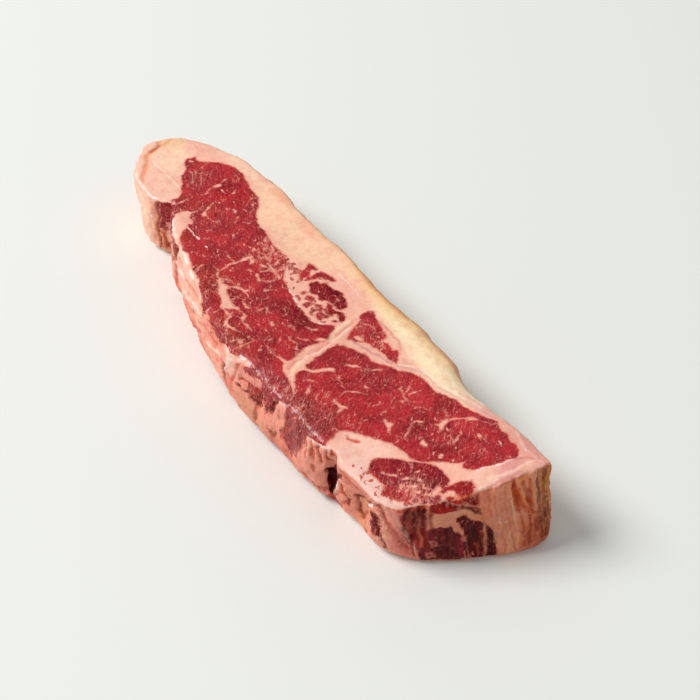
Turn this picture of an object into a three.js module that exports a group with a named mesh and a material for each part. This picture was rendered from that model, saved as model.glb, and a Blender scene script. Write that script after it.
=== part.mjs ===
// A raw beef steak: one thick slice across a boned loin, lying on its lower cut face.
// Millimetres, +Z up. X runs along the slice towards its squared end, Y towards the fat cap.
// The origin is on the table, under the middle of the slice.
import * as THREE from 'three';

// Driving dimensions
const THICKNESS = 35; // between the two cut faces over most of the slice
const HEEL_RISE = 7; // extra thickness where the squared end meets the fat cap
const TAIL_DROP = 3; // lost thickness at the squared end's lean corner
const END_FLARE = 6; // how far the foot of the squared end stands out past its rim
const HEEL_FLARE = 3.2; // what it stands out more at the cap corner
const TIP_UNDERCUT = 3; // how far the rounded tip's foot lies inside its rim
const LEAN_SPREAD = 1.2; // how far the soft lean side's foot spreads past its rim
const BLOCK_UNDERCUT = 3; // how far that foot draws in again beyond the deep cleft
const CAP_BULGE = 1.5; // crown of the fat cap's outer side
const END_BULGE = 0.3; // crown of the squared end
const TIP_BULGE = 0.8; // crown of the tip's side
const FOOT_RADIUS = 3; // rounding where the sides meet the table
const FOOT_RADIUS_END = 1.5; // the same, at the squared end
const FOOT_RADIUS_LEAN = 6; // the same, at the soft lean side
const SHOULDER_CRISP = 0.8; // rounding of a cleanly cut rim
const SHOULDER_LEAN = 4; // what the soft lean side's rim is rounder by
const SHOULDER_BLOCK = 1.6; // the same, beyond the deep cleft
const SHOULDER_TIP_DEPTH = 2; // what the tip's rim is deeper by
const SHOULDER_CAP_WIDTH = 9; // how far the fat cap rolls over where its skin shows from above
const SHOULDER_CAP_DEPTH = 7;

// Where one kind of face or side blends into the next
const HEEL_RISES = { x: [65, 135], y: [-29, 21] };
const TAIL_FALLS = { x: [60, 110], y: [-17, -39] };
const END_BEGINS = [108, 124];
const SOFT_RIM_BEGINS = [-98, -84];
const TIP_BEGINS = [-112, -140];
const ROLLED_CAP_BEGINS = [22, 50];
const ROLLED_CAP_ENDS = [84, 104];
const BLOCK_BEGINS = [68, 80];
const BLOCK_ENDS = [98, 112];
const HEEL_FLARE_GROWS = [-16, 12];

// Mesh density
const ALONG = 108;
const ACROSS = 14;
const RING_DEPTHS = [0, 0.03, 0.08, 0.15, 0.25, 0.37, 0.5, 0.63, 0.76, 0.88, 0.96, 1]; // in rim heights
const CLOSER_STATIONS = [
  { name: 'notch', share: 0.155, spread: 0.03, extra: 1.1 },
  { name: 'deep cleft', share: 0.865, spread: 0.035, extra: 1.3 },
];
const STATION_STEPS = 2000;
const CORNER_SOFTENING = 10; // smoothing passes that round the foot's corners
const NORMAL_SOFTENING = 2; // the same, for the directions in which the sides stand out

// The rim of the upper cut face: four edges that meet at four corners
const TIP_EDGE = [
  [-134, -6.5], [-140.5, -1.5], [-145, 3.6], [-146.4, 9], [-145.3, 15.3], [-143, 21], [-139, 25.5],
];
const CAP_EDGE = [
  [-139, 25.5], [-132.5, 29], [-126, 32.8], [-114, 37.5], [-103, 40.2], [-90, 40.4], [-78, 41.4],
  [-68, 41], [-57, 39.2], [-42, 38], [-15, 37.8], [5, 35.6], [18, 34], [30, 34.6], [43, 36.6],
  [62, 35.4], [73, 31.6], [82, 28.2], [97, 25.4], [119, 24], [141, 22.8],
];
const LEAN_EDGE = [
  [-134, -6.5], [-127, -10.8], [-118, -13], [-108, -13.5], [-102, -12.3], [-97.5, -9], [-93, -11.5],
  [-87, -15.5], [-75, -20.5], [-55, -27], [-35, -33], [-10, -38.5], [2, -41], [30, -41.5], [66, -42],
  [90, -41.5], [103, -41.5], [112, -39.5],
];
const SQUARED_END = [
  [112, -39.5], [116.4, -34.6], [120.1, -28.2], [125.1, -21.1], [129.5, -13], [134.5, -1],
  [138.5, 14], [141, 22.8],
];

// Lumps and clefts of the lean side: place along X, height, half-widths along and up, and how far
// they stand out
const LEAN_SIDE_FORMS = [
  { name: 'notch behind the tip', x: -97.5, z: 20, along: 2.2, up: 30, out: -3.2 },
  { name: 'fat bead at the notch foot', x: -93.5, z: 5, along: 2.4, up: 4, out: 2.6 },
  { name: 'tip lobe', x: -112, z: 14, along: 9, up: 11, out: 1.4 },
  { name: 'sagging fat roll', x: -62, z: 12, along: 20, up: 9, out: 1.2 },
  { name: 'rim knob', x: 4, z: 31, along: 5, up: 4.5, out: 2.4 },
  { name: 'lump under the knob', x: 14, z: 15, along: 8, up: 8, out: 1.8 },
  { name: 'hollow beside the knob', x: 27, z: 27, along: 5.5, up: 5, out: -3.4 },
  { name: 'fat pad', x: 36, z: 12, along: 12, up: 8, out: 2 },
  { name: 'muscle fold', x: 50, z: 24, along: 3.5, up: 9, out: -1.8 },
  { name: 'smooth fat lump', x: 66, z: 18, along: 8, up: 11, out: 2.8 },
  { name: 'deep cleft', x: 78, z: 31, along: 2.6, up: 11, out: -8.5 },
  { name: 'cleft foot', x: 76.5, z: 14, along: 2.2, up: 8, out: -4.5 },
  { name: 'crease under the rim', x: 100, z: 27, along: 13, up: 2.2, out: -1.6 },
  { name: 'rough fat lobe', x: 88, z: 16, along: 4, up: 7, out: 2 },
  { name: 'dark muscle hollow', x: 97, z: 18, along: 3.4, up: 7, out: -1.8 },
  { name: 'corner lump', x: 106, z: 10, along: 5, up: 7, out: 1.4 },
];

// Wrinkles that cover every side: wavelength along the side, the length over which they come and go,
// wavelength up the side, and depth
const SIDE_WRINKLES = [
  { along: 37, fades: 118, up: 60, depth: 0.8, phase: 0.4 },
  { along: 17, fades: 71, up: 33, depth: 0.5, phase: 2.1 },
  { along: 8.3, fades: 47, up: 41, depth: 0.3, phase: 4.4 },
];
const WRINKLE_BEND = 0.9; // how far a wrinkle strays from upright, in radians of its wave
// Low swells of the upper cut face: wavelengths along and across, how far they slant, and height
const FACE_SWELLS = [
  { along: 97, across: 71, slant: 0.35, height: 0.6, phase: 1.1 },
  { along: 43, across: 37, slant: -0.6, height: 0.3, phase: 3.0 },
];
const SWELL_FADE_ALONG = 8; // one over the share of the face's length in which its swells die out
const SWELL_FADE_ACROSS = 5;

const smoothStep = (t) => {
  const c = THREE.MathUtils.clamp(t, 0, 1);
  return c * c * (3 - 2 * c);
};
const ramp = (value, [from, to]) => smoothStep((value - from) / (to - from));
const bell = (value, centre, halfWidth) => Math.exp(-(((value - centre) / halfWidth) ** 2));
const wave = (place, length) => (2 * Math.PI * place) / length;
const edgeCurve = (points) => new THREE.SplineCurve(points.map(([x, y]) => new THREE.Vector2(x, y)));

/** Height of the upper cut face before its low swells. */
function faceHeight(x, y) {
  const heel = HEEL_RISE * ramp(x, HEEL_RISES.x) * ramp(y, HEEL_RISES.y);
  const tail = TAIL_DROP * ramp(x, TAIL_FALLS.x) * ramp(y, TAIL_FALLS.y);
  return THICKNESS + heel - tail;
}

function faceSwell(x, y) {
  return FACE_SWELLS.reduce((sum, w) => {
    const lengthways = Math.sin(wave(x + w.slant * y, w.along) + w.phase);
    const crossways = Math.cos(wave(y - w.slant * x, w.across) + w.phase);
    return sum + w.height * lengthways * crossways;
  }, 0);
}

/** Shares of a long edge's length, closer together at the notch and at the deep cleft. */
function stations() {
  const density = (t) => (
    CLOSER_STATIONS.reduce((sum, c) => sum + c.extra * bell(t, c.share, c.spread), 1)
  );
  const sums = [0];
  for (let i = 0; i < STATION_STEPS; i += 1) {
    sums.push(sums[i] + density((i + 0.5) / STATION_STEPS));
  }
  const places = [];
  let at = 0;
  for (let i = 0; i < ALONG; i += 1) {
    const wanted = (sums[STATION_STEPS] * i) / ALONG;
    while (sums[at + 1] < wanted) at += 1;
    places.push((at + (wanted - sums[at]) / (sums[at + 1] - sums[at])) / STATION_STEPS);
  }
  places.push(1);
  return places;
}

/** The four edges as rows of points: lean and cap from tip to end, tip and end from lean to cap. */
function rimEdges() {
  const along = stations();
  const across = Array.from({ length: ACROSS + 1 }, (_, j) => j / ACROSS);
  return {
    lean: along.map((t) => edgeCurve(LEAN_EDGE).getPointAt(t)),
    cap: along.map((t) => edgeCurve(CAP_EDGE).getPointAt(t)),
    tip: across.map((t) => edgeCurve(TIP_EDGE).getPointAt(t)),
    end: across.map((t) => edgeCurve(SQUARED_END).getPointAt(t)),
  };
}

/** The rim once round, anticlockwise from above, starting at the tip's lean corner. */
function rimLoop({ lean, cap, tip, end }) {
  return [
    ...lean.slice(0, -1),
    ...end.slice(0, -1),
    ...[...cap].reverse().slice(0, -1),
    ...[...tip].reverse().slice(0, -1),
  ];
}

/** A closed row of points after some rounds of averaging each with its neighbours. */
function soften(loop, rounds) {
  let points = loop.map((p) => p.clone());
  for (let r = 0; r < rounds; r += 1) {
    points = points.map((p, i) => {
      const before = points[(i + points.length - 1) % points.length];
      const after = points[(i + 1) % points.length];
      return p.clone().multiplyScalar(2).add(before).add(after).multiplyScalar(0.25);
    });
  }
  return points;
}

/** Outward unit normals of a closed anticlockwise row of points. */
function outward(loop) {
  return loop.map((_, i) => {
    const d = loop[(i + 1) % loop.length].clone().sub(loop[(i + loop.length - 1) % loop.length]);
    return new THREE.Vector2(d.y, -d.x).normalize();
  });
}

/** What the side is like at a rim point: its shoulder, its foot, and its crown. */
function sideAt(point, normal) {
  const end = Math.max(0, normal.x) ** 2 * ramp(point.x, END_BEGINS);
  const tip = ramp(point.x, TIP_BEGINS);
  const cap = Math.max(0, normal.y) * (1 - end);
  const lean = Math.max(0, -normal.y) * (1 - end) * (1 - tip);
  const rolled = cap * ramp(point.x, ROLLED_CAP_BEGINS) * (1 - ramp(point.x, ROLLED_CAP_ENDS));
  const block = ramp(point.x, BLOCK_BEGINS);
  const softRim = THREE.MathUtils.lerp(SHOULDER_LEAN, SHOULDER_BLOCK, block);
  const soft = lean * softRim * ramp(point.x, SOFT_RIM_BEGINS);
  const footRounding = (FOOT_RADIUS_END - FOOT_RADIUS) * end + (FOOT_RADIUS_LEAN - FOOT_RADIUS) * lean;
  const endFoot = END_FLARE + HEEL_FLARE * ramp(point.y, HEEL_FLARE_GROWS);
  const leanFoot = LEAN_SPREAD - BLOCK_UNDERCUT * block * (1 - ramp(point.x, BLOCK_ENDS));
  return {
    width: SHOULDER_CRISP + SHOULDER_CAP_WIDTH * rolled + soft,
    depth: SHOULDER_CRISP + SHOULDER_CAP_DEPTH * rolled + soft + SHOULDER_TIP_DEPTH * tip,
    foot: endFoot * end - TIP_UNDERCUT * tip + leanFoot * lean,
    footRadius: FOOT_RADIUS + footRounding,
    crown: CAP_BULGE * cap + END_BULGE * end + TIP_BULGE * tip,
    lean,
  };
}

/** How far a side stands out or lies in at a place, from its lumps, clefts and wrinkles. */
function sideRelief(point, travelled, z, lean) {
  const forms = LEAN_SIDE_FORMS.reduce((sum, f) => (
    sum + f.out * bell(point.x, f.x, f.along) * bell(z, f.z, f.up)
  ), 0);
  const wrinkles = SIDE_WRINKLES.reduce((sum, w) => {
    const bend = WRINKLE_BEND * Math.sin(wave(z, w.up));
    const strength = w.depth * Math.cos(wave(travelled, w.fades));
    return sum + strength * Math.sin(wave(travelled, w.along) + w.phase + bend);
  }, 0);
  return forms * Math.sqrt(lean) + wrinkles;
}

/** The rings of points from the rim down to the foot. */
function sideRings(loop) {
  const normals = outward(soften(loop, NORMAL_SOFTENING));
  const softer = soften(loop, CORNER_SOFTENING);
  const travelled = [0];
  for (let i = 1; i < loop.length; i += 1) {
    travelled.push(travelled[i - 1] + loop[i].distanceTo(loop[i - 1]));
  }
  return RING_DEPTHS.map((down) => loop.map((rim, i) => {
    const side = sideAt(rim, normals[i]);
    const height = faceHeight(rim.x, rim.y);
    const z = height * (1 - down);
    const fromRim = 1 - Math.min(1, (down * height) / side.depth);
    const fromTable = 1 - Math.min(1, z / side.footRadius);
    const shoulder = side.width * (1 - Math.sqrt(1 - fromRim ** 2));
    const footRound = side.footRadius * (1 - Math.sqrt(1 - fromTable ** 2));
    const away = Math.sin(Math.PI * down);
    const relief = sideRelief(rim, travelled[i], z, side.lean) * Math.sqrt(away);
    const offset = side.foot * smoothStep(down) + side.crown * away + relief - shoulder - footRound;
    const plan = rim.clone().lerp(softer[i], down).addScaledVector(normals[i], offset);
    return new THREE.Vector3(plan.x, plan.y, z);
  }));
}

/** The upper cut face: the patch between the rim's four runs, lifted to its height with low swells. */
function facePatch(ring) {
  const at = (i) => ring[(i + ring.length) % ring.length];
  const lean = (i) => at(i);
  const end = (j) => at(ALONG + j);
  const cap = (i) => at(2 * ALONG + ACROSS - i);
  const tip = (j) => at(-j);
  const rows = [];
  for (let i = 0; i <= ALONG; i += 1) {
    const row = [];
    for (let j = 0; j <= ACROSS; j += 1) {
      const u = i / ALONG;
      const v = j / ACROSS;
      const between = lean(i).clone().multiplyScalar(1 - v).addScaledVector(cap(i), v);
      const ends = tip(j).clone().multiplyScalar(1 - u).addScaledVector(end(j), u);
      const corners = lean(0).clone().multiplyScalar((1 - u) * (1 - v))
        .addScaledVector(lean(ALONG), u * (1 - v))
        .addScaledVector(cap(0), (1 - u) * v)
        .addScaledVector(cap(ALONG), u * v);
      const p = between.add(ends).sub(corners);
      const endward = SWELL_FADE_ALONG * Math.min(u, 1 - u);
      const sideward = SWELL_FADE_ACROSS * Math.min(v, 1 - v);
      const inside = Math.min(1, endward, sideward);
      p.z = faceHeight(p.x, p.y) + inside * faceSwell(p.x, p.y);
      row.push(p);
    }
    rows.push(row);
  }
  return rows;
}

/** The whole slice as one closed surface. */
function steakGeometry() {
  const rings = sideRings(rimLoop(rimEdges()));
  const count = rings[0].length;
  const positions = [];
  const indices = [];
  rings.forEach((ring) => ring.forEach((p) => positions.push(p.x, p.y, p.z)));
  for (let k = 0; k + 1 < rings.length; k += 1) {
    for (let i = 0; i < count; i += 1) {
      const a = k * count + i;
      const b = k * count + ((i + 1) % count);
      indices.push(a, a + count, b, b, a + count, b + count);
    }
  }

  // The upper cut face: the rim's own points on the boundary, new ones inside
  const ids = facePatch(rings[0]).map((row, i) => row.map((p, j) => {
    if (j === 0) return i;
    if (i === ALONG) return ALONG + j;
    if (j === ACROSS) return 2 * ALONG + ACROSS - i;
    if (i === 0) return count - j;
    positions.push(p.x, p.y, p.z);
    return positions.length / 3 - 1;
  }));
  for (let i = 0; i < ALONG; i += 1) {
    for (let j = 0; j < ACROSS; j += 1) {
      const [a, b, c, d] = [ids[i][j], ids[i + 1][j], ids[i + 1][j + 1], ids[i][j + 1]];
      indices.push(a, b, c, a, c, d);
    }
  }

  // The lower cut face lies flat on the table
  const foot = (rings.length - 1) * count;
  const outline = rings[rings.length - 1].map((p) => new THREE.Vector2(p.x, p.y));
  THREE.ShapeUtils.triangulateShape(outline, []).forEach(([a, b, c]) => {
    indices.push(foot + a, foot + c, foot + b);
  });

  const geometry = new THREE.BufferGeometry();
  geometry.setAttribute('position', new THREE.Float32BufferAttribute(positions, 3));
  geometry.setIndex(indices);
  geometry.computeBoundingBox();
  const middle = geometry.boundingBox.getCenter(new THREE.Vector3());
  geometry.translate(-middle.x, -middle.y, 0);
  geometry.computeVertexNormals();
  return geometry;
}

const rawMeat = new THREE.MeshStandardMaterial({ color: 0xa3343a, roughness: 0.45, metalness: 0 });
const steak = new THREE.Mesh(steakGeometry(), rawMeat);
steak.name = 'steak';

const group = new THREE.Group();
group.add(steak);
export default group;
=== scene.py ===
"""A raw beef steak on a pale floor: the solid's own surface, refined, with its fat, muscle and marbling."""

import math

import bmesh
import bpy
import numpy as np
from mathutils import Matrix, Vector, noise


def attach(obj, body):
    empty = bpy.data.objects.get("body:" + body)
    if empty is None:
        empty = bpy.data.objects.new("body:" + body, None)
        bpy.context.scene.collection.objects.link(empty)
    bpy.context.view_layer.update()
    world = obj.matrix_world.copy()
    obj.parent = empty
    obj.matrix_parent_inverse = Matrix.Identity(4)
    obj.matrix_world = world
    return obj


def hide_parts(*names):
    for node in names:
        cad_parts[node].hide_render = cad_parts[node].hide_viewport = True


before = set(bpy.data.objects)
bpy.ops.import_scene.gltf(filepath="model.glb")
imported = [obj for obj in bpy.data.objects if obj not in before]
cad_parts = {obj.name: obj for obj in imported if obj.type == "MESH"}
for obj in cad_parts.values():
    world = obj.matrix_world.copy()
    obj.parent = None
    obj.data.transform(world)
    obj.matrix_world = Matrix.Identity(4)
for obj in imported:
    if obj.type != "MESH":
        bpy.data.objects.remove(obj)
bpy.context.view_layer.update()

# Sizes are in millimetres here, and in metres in the scene
MM = 0.001
MIDDLE = np.array([0.08, -0.92])  # the slice's middle in the frame of the outlines below
CELL = 1.35  # spacing of the surface's points where the photo doesn't show it, halved where it does
SMOOTHING_ROUNDS = 5
FAR = 6.0  # distances from an outline are cut off here
CAMERA = (380.4, -258.5, 466.6)
CAMERA_TARGET = (7.8, 22.3, 0.0)
FIELD_OF_VIEW = math.radians(28)
SENSOR = 36.0
FLOOR_HALF = 3.0  # in metres
KEY_PLACE = (-1.95, -1.75, 3.0)  # in metres
KEY_SIZE = 2.0  # in metres
KEY_POWER = 137.0
SKY_STRENGTH = 0.4

# Places along the slice, and the heights where its lower face ends and its upper face begins
TIP_START = -103.0
SEAM_AT = 28.0
LUMP_AT = 67.0
CLEFT_MIDDLE = 77.5
END_START = 100.0
LOWER_FACE_TOP = 12.0
UPPER_FACE_FOOT = 20.0
TURN = (0.35, 0.75)  # a side begins and is whole where the normal's own part passes these
FAR_GRAIN = -30.0  # how the fibres run on the far side of the seam, in degrees from X
NEAR_GRAIN = -52.0
SEED_STEP = np.array([17.3, -9.1, 5.7])  # how far apart two seeds lie in the noise
STREAK_SEED = 11
STREAK_SOFTNESS = 0.6
STREAK_RELIEF = -0.3


def linear(colour):
    """The linear colour of a screen colour, whose parts go from 0 to 255."""
    parts = np.array(colour) / 255
    return np.where(parts <= 0.04045, parts / 12.92, ((parts + 0.055) / 1.055) ** 2.4)


# Screen colours of red, green and blue from 0 to 255
LEAN = (174, 38, 46)
LEAN_DARK = (122, 8, 20)
# Near-black painted shade for the cleft
CLEFT_SHADE_DEEP = (66, 6, 8)
LEAN_BROWN = (150, 44, 28)
LEAN_ORANGE = (206, 52, 34)
LEAN_PURPLE = (170, 56, 66)
LEAN_CRIMSON = (140, 18, 34)
FAT_PINK = (244, 184, 162)
FAT_ROSE = (234, 152, 134)
FAT_PEACH = (252, 208, 180)
FAT_CREAM = (250, 204, 170)
FAT_YELLOW = (255, 230, 190)
FAT_SALMON = (240, 158, 136)
FAT_TAN = (228, 154, 118)
FAT_BROWN = (186, 106, 60)
SILVERSKIN = (222, 160, 148)
CREASE_SHADE = (96, 28, 12)
RIND_SKIN = (249, 214, 174)
RIM_HIGHLIGHT = (255, 236, 226)
DRIED_OCHRE = (244, 192, 124)
DRIED_BROWN = (208, 132, 72)
RIND_BROWNED = (222, 160, 106)
RIND_ROSY = (242, 180, 152)
RIND_CREASED = (206, 138, 92)
# Painted shade deep in the cleft, for fat and for lean
CLEFT_SHADE_FAT = (112, 18, 12)
CLEFT_SHADE_LEAN = (98, 12, 8)
LEAN_WARM = (184, 52, 40)
GRAIN_PINK = (214, 92, 90)
NET_PINK = (224, 128, 118)
STRAND_RED = (206, 92, 66)
EDGE_PINK = (226, 126, 108)
GROOVE_SHADE_RED = (168, 50, 36)
GLINT_PALE = (255, 228, 214)
FLOOR = (234, 236, 231)
SIDE_WARMTH = (1.02, 0.95, 0.92)  # factors of red, green and blue
END_SHADOW = np.array([0.15, 0.34, 0.48])  # what the foot of the squared end loses of them

# The upper cut face, seen from above: X along the slice, Y towards the rind of fat
FAR_MUSCLE = [
    (-122.5, 17.3), (-120.7, 20.8), (-118.5, 20.2), (-116.3, 20.7), (-114, 22.7), (-111.7, 25.3),
    (-108.7, 27.7), (-104.7, 30), (-100.7, 31.5), (-96.7, 31.9), (-92.7, 31.5), (-88, 30), (-83.3, 28.5),
    (-79.3, 28.3), (-75.3, 27.7), (-72, 25.7), (-68.7, 23), (-64.7, 19.7), (-60.7, 17.3), (-56.7, 15.9),
    (-53.7, 15.7), (-48.3, 15), (-45, 13.7), (-41, 13), (-35.7, 12.7), (-31.7, 13.3), (-27, 11), (-23, 7),
    (-20, 3.5), (-13.7, 2), (-9.7, 0.6), (-5.7, -0.3), (-1.7, -1.3), (2.3, -2.2), (6.3, -2.7), (10.3, -2.7),
    (14.3, -1.8), (17, 1), (19.5, 3.6), (21.6, 2.6), (22.6, 0.4), (23.4, -1.6), (25, -3.3), (24.7, -6),
    (23.7, -9.3), (23, -12.7), (23.3, -16.7), (24.3, -20), (25.3, -23.3), (25, -26), (25.7, -28.7),
    (28.3, -30), (31.7, -31), (35.7, -32.2), (39.7, -33.4), (44, -36), (46, -41), (40, -42.5), (34, -41.5),
    (27, -44), (20, -44.5), (17.2, -41.6), (15.5, -39.8), (11, -39.2), (8, -39.8), (5, -41), (2.3, -42.6),
    (-3, -42), (-9, -40.8), (-15, -38.6), (-22.3, -37.3), (-26.3, -37), (-29, -34.7), (-31, -32),
    (-34.3, -31.7), (-38.3, -30), (-42.3, -27.3), (-46.3, -26.3), (-50.3, -25.3), (-54.3, -23.7),
    (-58.3, -22), (-61.7, -21.3), (-65, -21.3), (-69, -20.7), (-72.3, -18.7), (-75, -16), (-76.4, -12.6),
    (-80, -9), (-84, -8), (-86, -10.5), (-88.3, -13.5), (-92.3, -14), (-96.3, -13.2), (-98.7, -10),
    (-99, -6.7), (-98.3, -3.3), (-100.7, 0), (-103.3, 2), (-106.3, 3.7), (-109.3, 5.3), (-112, 7),
    (-113.7, 9.7), (-115.3, 12), (-118.7, 13), (-121.7, 15),
]
NEAR_MUSCLE = [
    (30, -2), (34, 0), (37.3, 1.7), (40.7, 3.7), (43.3, 4.3), (46, 3.7), (48.7, 5.3), (52, 7), (55.3, 8),
    (58, 9.4), (61.3, 12.4), (63.3, 13.8), (67.3, 14.8), (71.3, 14.7), (75.3, 13.8), (79.3, 14),
    (83.5, 15.4), (88.3, 16.4), (92.3, 16.5), (97, 16.8), (101.7, 18), (105, 19), (108.3, 20),
    (111.7, 19.3), (114.3, 18.3), (118.3, 18.3), (121.7, 16.3), (124.3, 17.3), (127, 16), (129, 14.3),
    (128.7, 11.5), (127, 8.7), (125.7, 5.3), (123.7, 1.3), (122.2, -2.7), (120.3, -4.3), (118.3, -5.3),
    (116.9, -4.4), (116.3, -1.6), (115.8, -4.6), (114.3, -6), (111.7, -8), (109.7, -10), (107, -12.7),
    (104.3, -15), (101, -17), (97, -17.4), (93, -17.4), (90.3, -18.4), (87, -20), (83.7, -22), (80.3, -24),
    (77.7, -25.4), (76, -26.7), (73.7, -28), (71.7, -29.4), (70.7, -32.7), (71.3, -36), (72.7, -40),
    (74.7, -45), (60, -46), (47, -45), (46, -41), (44.5, -37), (42.5, -34), (40.3, -31.7), (37, -30),
    (34, -27.3), (33.7, -25.3), (34.3, -23.3), (36.7, -21.3), (38.7, -18.7), (40.3, -15.3), (42.3, -12.7),
    (41.4, -11.4), (38.7, -13), (37.3, -16.7), (35.7, -19.3), (33.7, -21.1), (32, -20), (31.3, -16.7),
    (30.7, -12.7), (29.7, -8.7), (30, -4.7),
]
TRIANGLE_MUSCLE = [
    (23, 23), (25.3, 22.2), (28.3, 21), (31.7, 20.2), (35.7, 19.3), (38.4, 18.2), (39.4, 16.5),
    (40.3, 14.5), (42, 16.2), (44.3, 16), (46, 15), (47.7, 16.6), (49, 16.6), (50.7, 15), (53, 12.7),
    (54.7, 11.2), (50, 10.7), (45.3, 11), (42.7, 10.7), (39.3, 10), (36.5, 8.8), (34.4, 6.4), (32, 4.6),
    (29.6, 3.2), (28.3, 6), (27, 8), (26, 10.7), (25.3, 13.3), (23.7, 15.7), (21.5, 16.3), (20.7, 18.7),
    (21, 21.3),
]
SMALL_MUSCLE = [
    (91.3, -27.3), (92.3, -26), (95, -23.7), (98.3, -20.7), (101.7, -18), (104.3, -16), (107, -14),
    (109.7, -12.7), (113, -12.1), (116.3, -12.3), (119, -13.3), (120.3, -14.7), (120, -17.3), (118.3, -20),
    (115.5, -21.8), (112.3, -22.7), (110.3, -24.7), (109, -27.3), (107.7, -30), (106.3, -32), (103.7, -33),
    (100.3, -33.7), (97, -34), (93.7, -34.3), (92, -32), (91.2, -29.7),
]
ISLANDS = {
    "dark lobe of the oval": [
        (-6.7, 17.3), (-5.3, 18.3), (-3, 17.7), (-0.3, 18.1), (2.3, 19), (5, 19.5), (8.3, 18.7), (11, 17.2),
        (12.7, 15.7), (13.5, 14), (12.9, 12.7), (11, 12), (8.5, 11.4), (5.7, 11.7), (4.3, 10.7), (3, 9),
        (1.3, 8.3), (-0.3, 9.7), (-2.3, 9.7), (-4.3, 8.7), (-5.7, 8.3), (-6, 9.3), (-7, 10.3), (-8.7, 10.7),
        (-9.9, 11.3), (-10, 13.3), (-9, 15), (-7, 15.7)],
    "second arm": [
        (11.7, 10), (13, 11.3), (15.3, 12), (17.7, 11), (19.3, 9.3), (19.7, 7.7), (18.3, 7.6), (16.3, 8.3),
        (14.7, 9.3), (13.3, 8.7), (14, 7.3), (13, 6), (11, 5.7), (9.3, 7), (7.7, 9), (6, 10), (7.7, 11)],
    "upper strip": [
        (-12.7, 20), (-11.7, 21.3), (-9, 22.2), (-6.3, 22.7), (-4.2, 22.3), (-4.7, 21), (-7, 19.7),
        (-9.3, 18.7), (-10.7, 17.3), (-11, 15.3), (-11.7, 12.7), (-13, 12), (-13.7, 13.3), (-13, 16),
        (-13.3, 18)],
    "left cluster": [
        (-20.7, 19.3), (-18.3, 20.3), (-15.3, 20.7), (-15.2, 18.7), (-17.2, 18.2), (-17, 16.6), (-15, 14.7),
        (-13.7, 13.3), (-15.7, 10), (-17, 10.7), (-17.7, 12.7), (-18.7, 14.7), (-19.3, 16.7)],
    "round island": [(3, 5.6), (4.2, 6.6), (6, 6.8), (8, 6), (8.4, 5), (7, 4), (5, 3.8), (3.6, 4.4)],
    "left island": [(-3.8, 6.4), (-2.4, 7.6), (-0.6, 7), (-0.4, 5), (-1.6, 3.9), (-2.8, 4.2)],
    "tall island": [(0.6, 4), (2.2, 4.6), (3, 2.6), (3.2, 0.8), (1.6, 0.7), (0, 1.2)],
    "small island": [(-7.4, 6.6), (-5.9, 7), (-5.2, 5.6), (-6, 4.3), (-7.4, 4.8)],
    "slanted island": [(6, 2.6), (7, 2.8), (8.6, -0.2), (7.4, -0.5), (6.4, 0.6)],
    "ragged island": [
        (9.2, 5), (11.4, 4.6), (13.2, 6.2), (14, 4.2), (12, 2.4), (13.4, 1), (10.4, 0.6), (9, 2.2)],
    "far right islet": [(16.8, 6.4), (18.4, 6.6), (18.5, 5), (17, 4.9)],
    "right tail": [(18.2, 2.8), (20, 3.3), (22, 2), (22.4, 0.6), (20, 0.4), (18.4, 1)],
    "streaky end meat": [
        (119.5, -17), (121, -14.8), (122.5, -10.6), (125.4, -7), (129, -8), (130.6, -11.5), (129.5, -15.5),
        (127, -14.7), (124.4, -14.8), (122.4, -16.4), (121.8, -18.8), (119, -22), (116, -23.5),
        (113.5, -23.4), (116, -21.9), (118.6, -20.3)],
    "mottled rim meat": [
        (103, -34), (107, -29.4), (110, -26.4), (114, -26), (118, -24.6), (121.6, -20.6), (123.8, -21.6),
        (121.4, -26), (117, -30), (112, -33.6), (106, -36.6)],
    "heart of the knob": [
        (125, -18), (126.2, -16.7), (127.8, -17.6), (127.8, -19.6), (126, -20.4), (124.8, -19.4)],
}
FAT_PATCHES = {
    "wedge behind the tip": [
        (-89, -7.2), (-87.6, -4.8), (-85.6, -3.2), (-84.6, -5), (-83.4, -6.5), (-79.8, -7.2), (-77.6, -8.8),
        (-78.4, -10.6), (-75.6, -11.2), (-76.6, -13), (-80, -15), (-86, -14), (-89.5, -11)],
    "patch over the streak": [
        (-82.5, 3), (-80.6, 1.8), (-79, 0.7), (-79.4, -1.2), (-82, -1.4), (-82.8, 0.6)],
    "broad wedge": [
        (-38.3, -18), (-36.3, -18.3), (-34.3, -19.7), (-31, -18.9), (-29.7, -19.9), (-27.7, -21.3),
        (-25, -22.7), (-21.7, -23.7), (-18.3, -24), (-15.7, -24.2), (-17.5, -26.4), (-19.4, -28.8),
        (-20.3, -30.7), (-23, -28.2), (-25.7, -26.7), (-29, -25.3), (-31.7, -24), (-34.3, -22),
        (-37.7, -21.3)],
    "knot": [
        (92.6, 7), (95.2, 7.4), (96.2, 5.6), (95.7, 3.6), (97, 1.4), (95, 1), (92.2, 1.2), (92.9, 3.4)],
    "hook": [
        (76.7, -12), (78.7, -12.8), (80.7, -11.7), (82, -12), (82.7, -14), (84, -15.3), (83.3, -16.7),
        (81.3, -15.4), (79.3, -14.7), (77.3, -13.5)],
    "pale blob": [(117.6, -16.4), (119.2, -15.8), (121, -18), (120.6, -22), (118.6, -23.4), (117.9, -20)],
    "faint patch": [(95.4, -7), (98, -7.4), (100, -8.6), (98.6, -9.8), (96.4, -9.2)],
    "pale corner of the triangle": [
        (30.3, 8.4), (33, 9.6), (35.2, 8.4), (33.6, 6.6), (31, 5.8), (29.8, 6.6)],
    "cheek by the knob": [(14.8, -37.8), (17, -39.2), (19, -42), (14, -44), (8, -41.4), (10, -38.8)],
}

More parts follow.
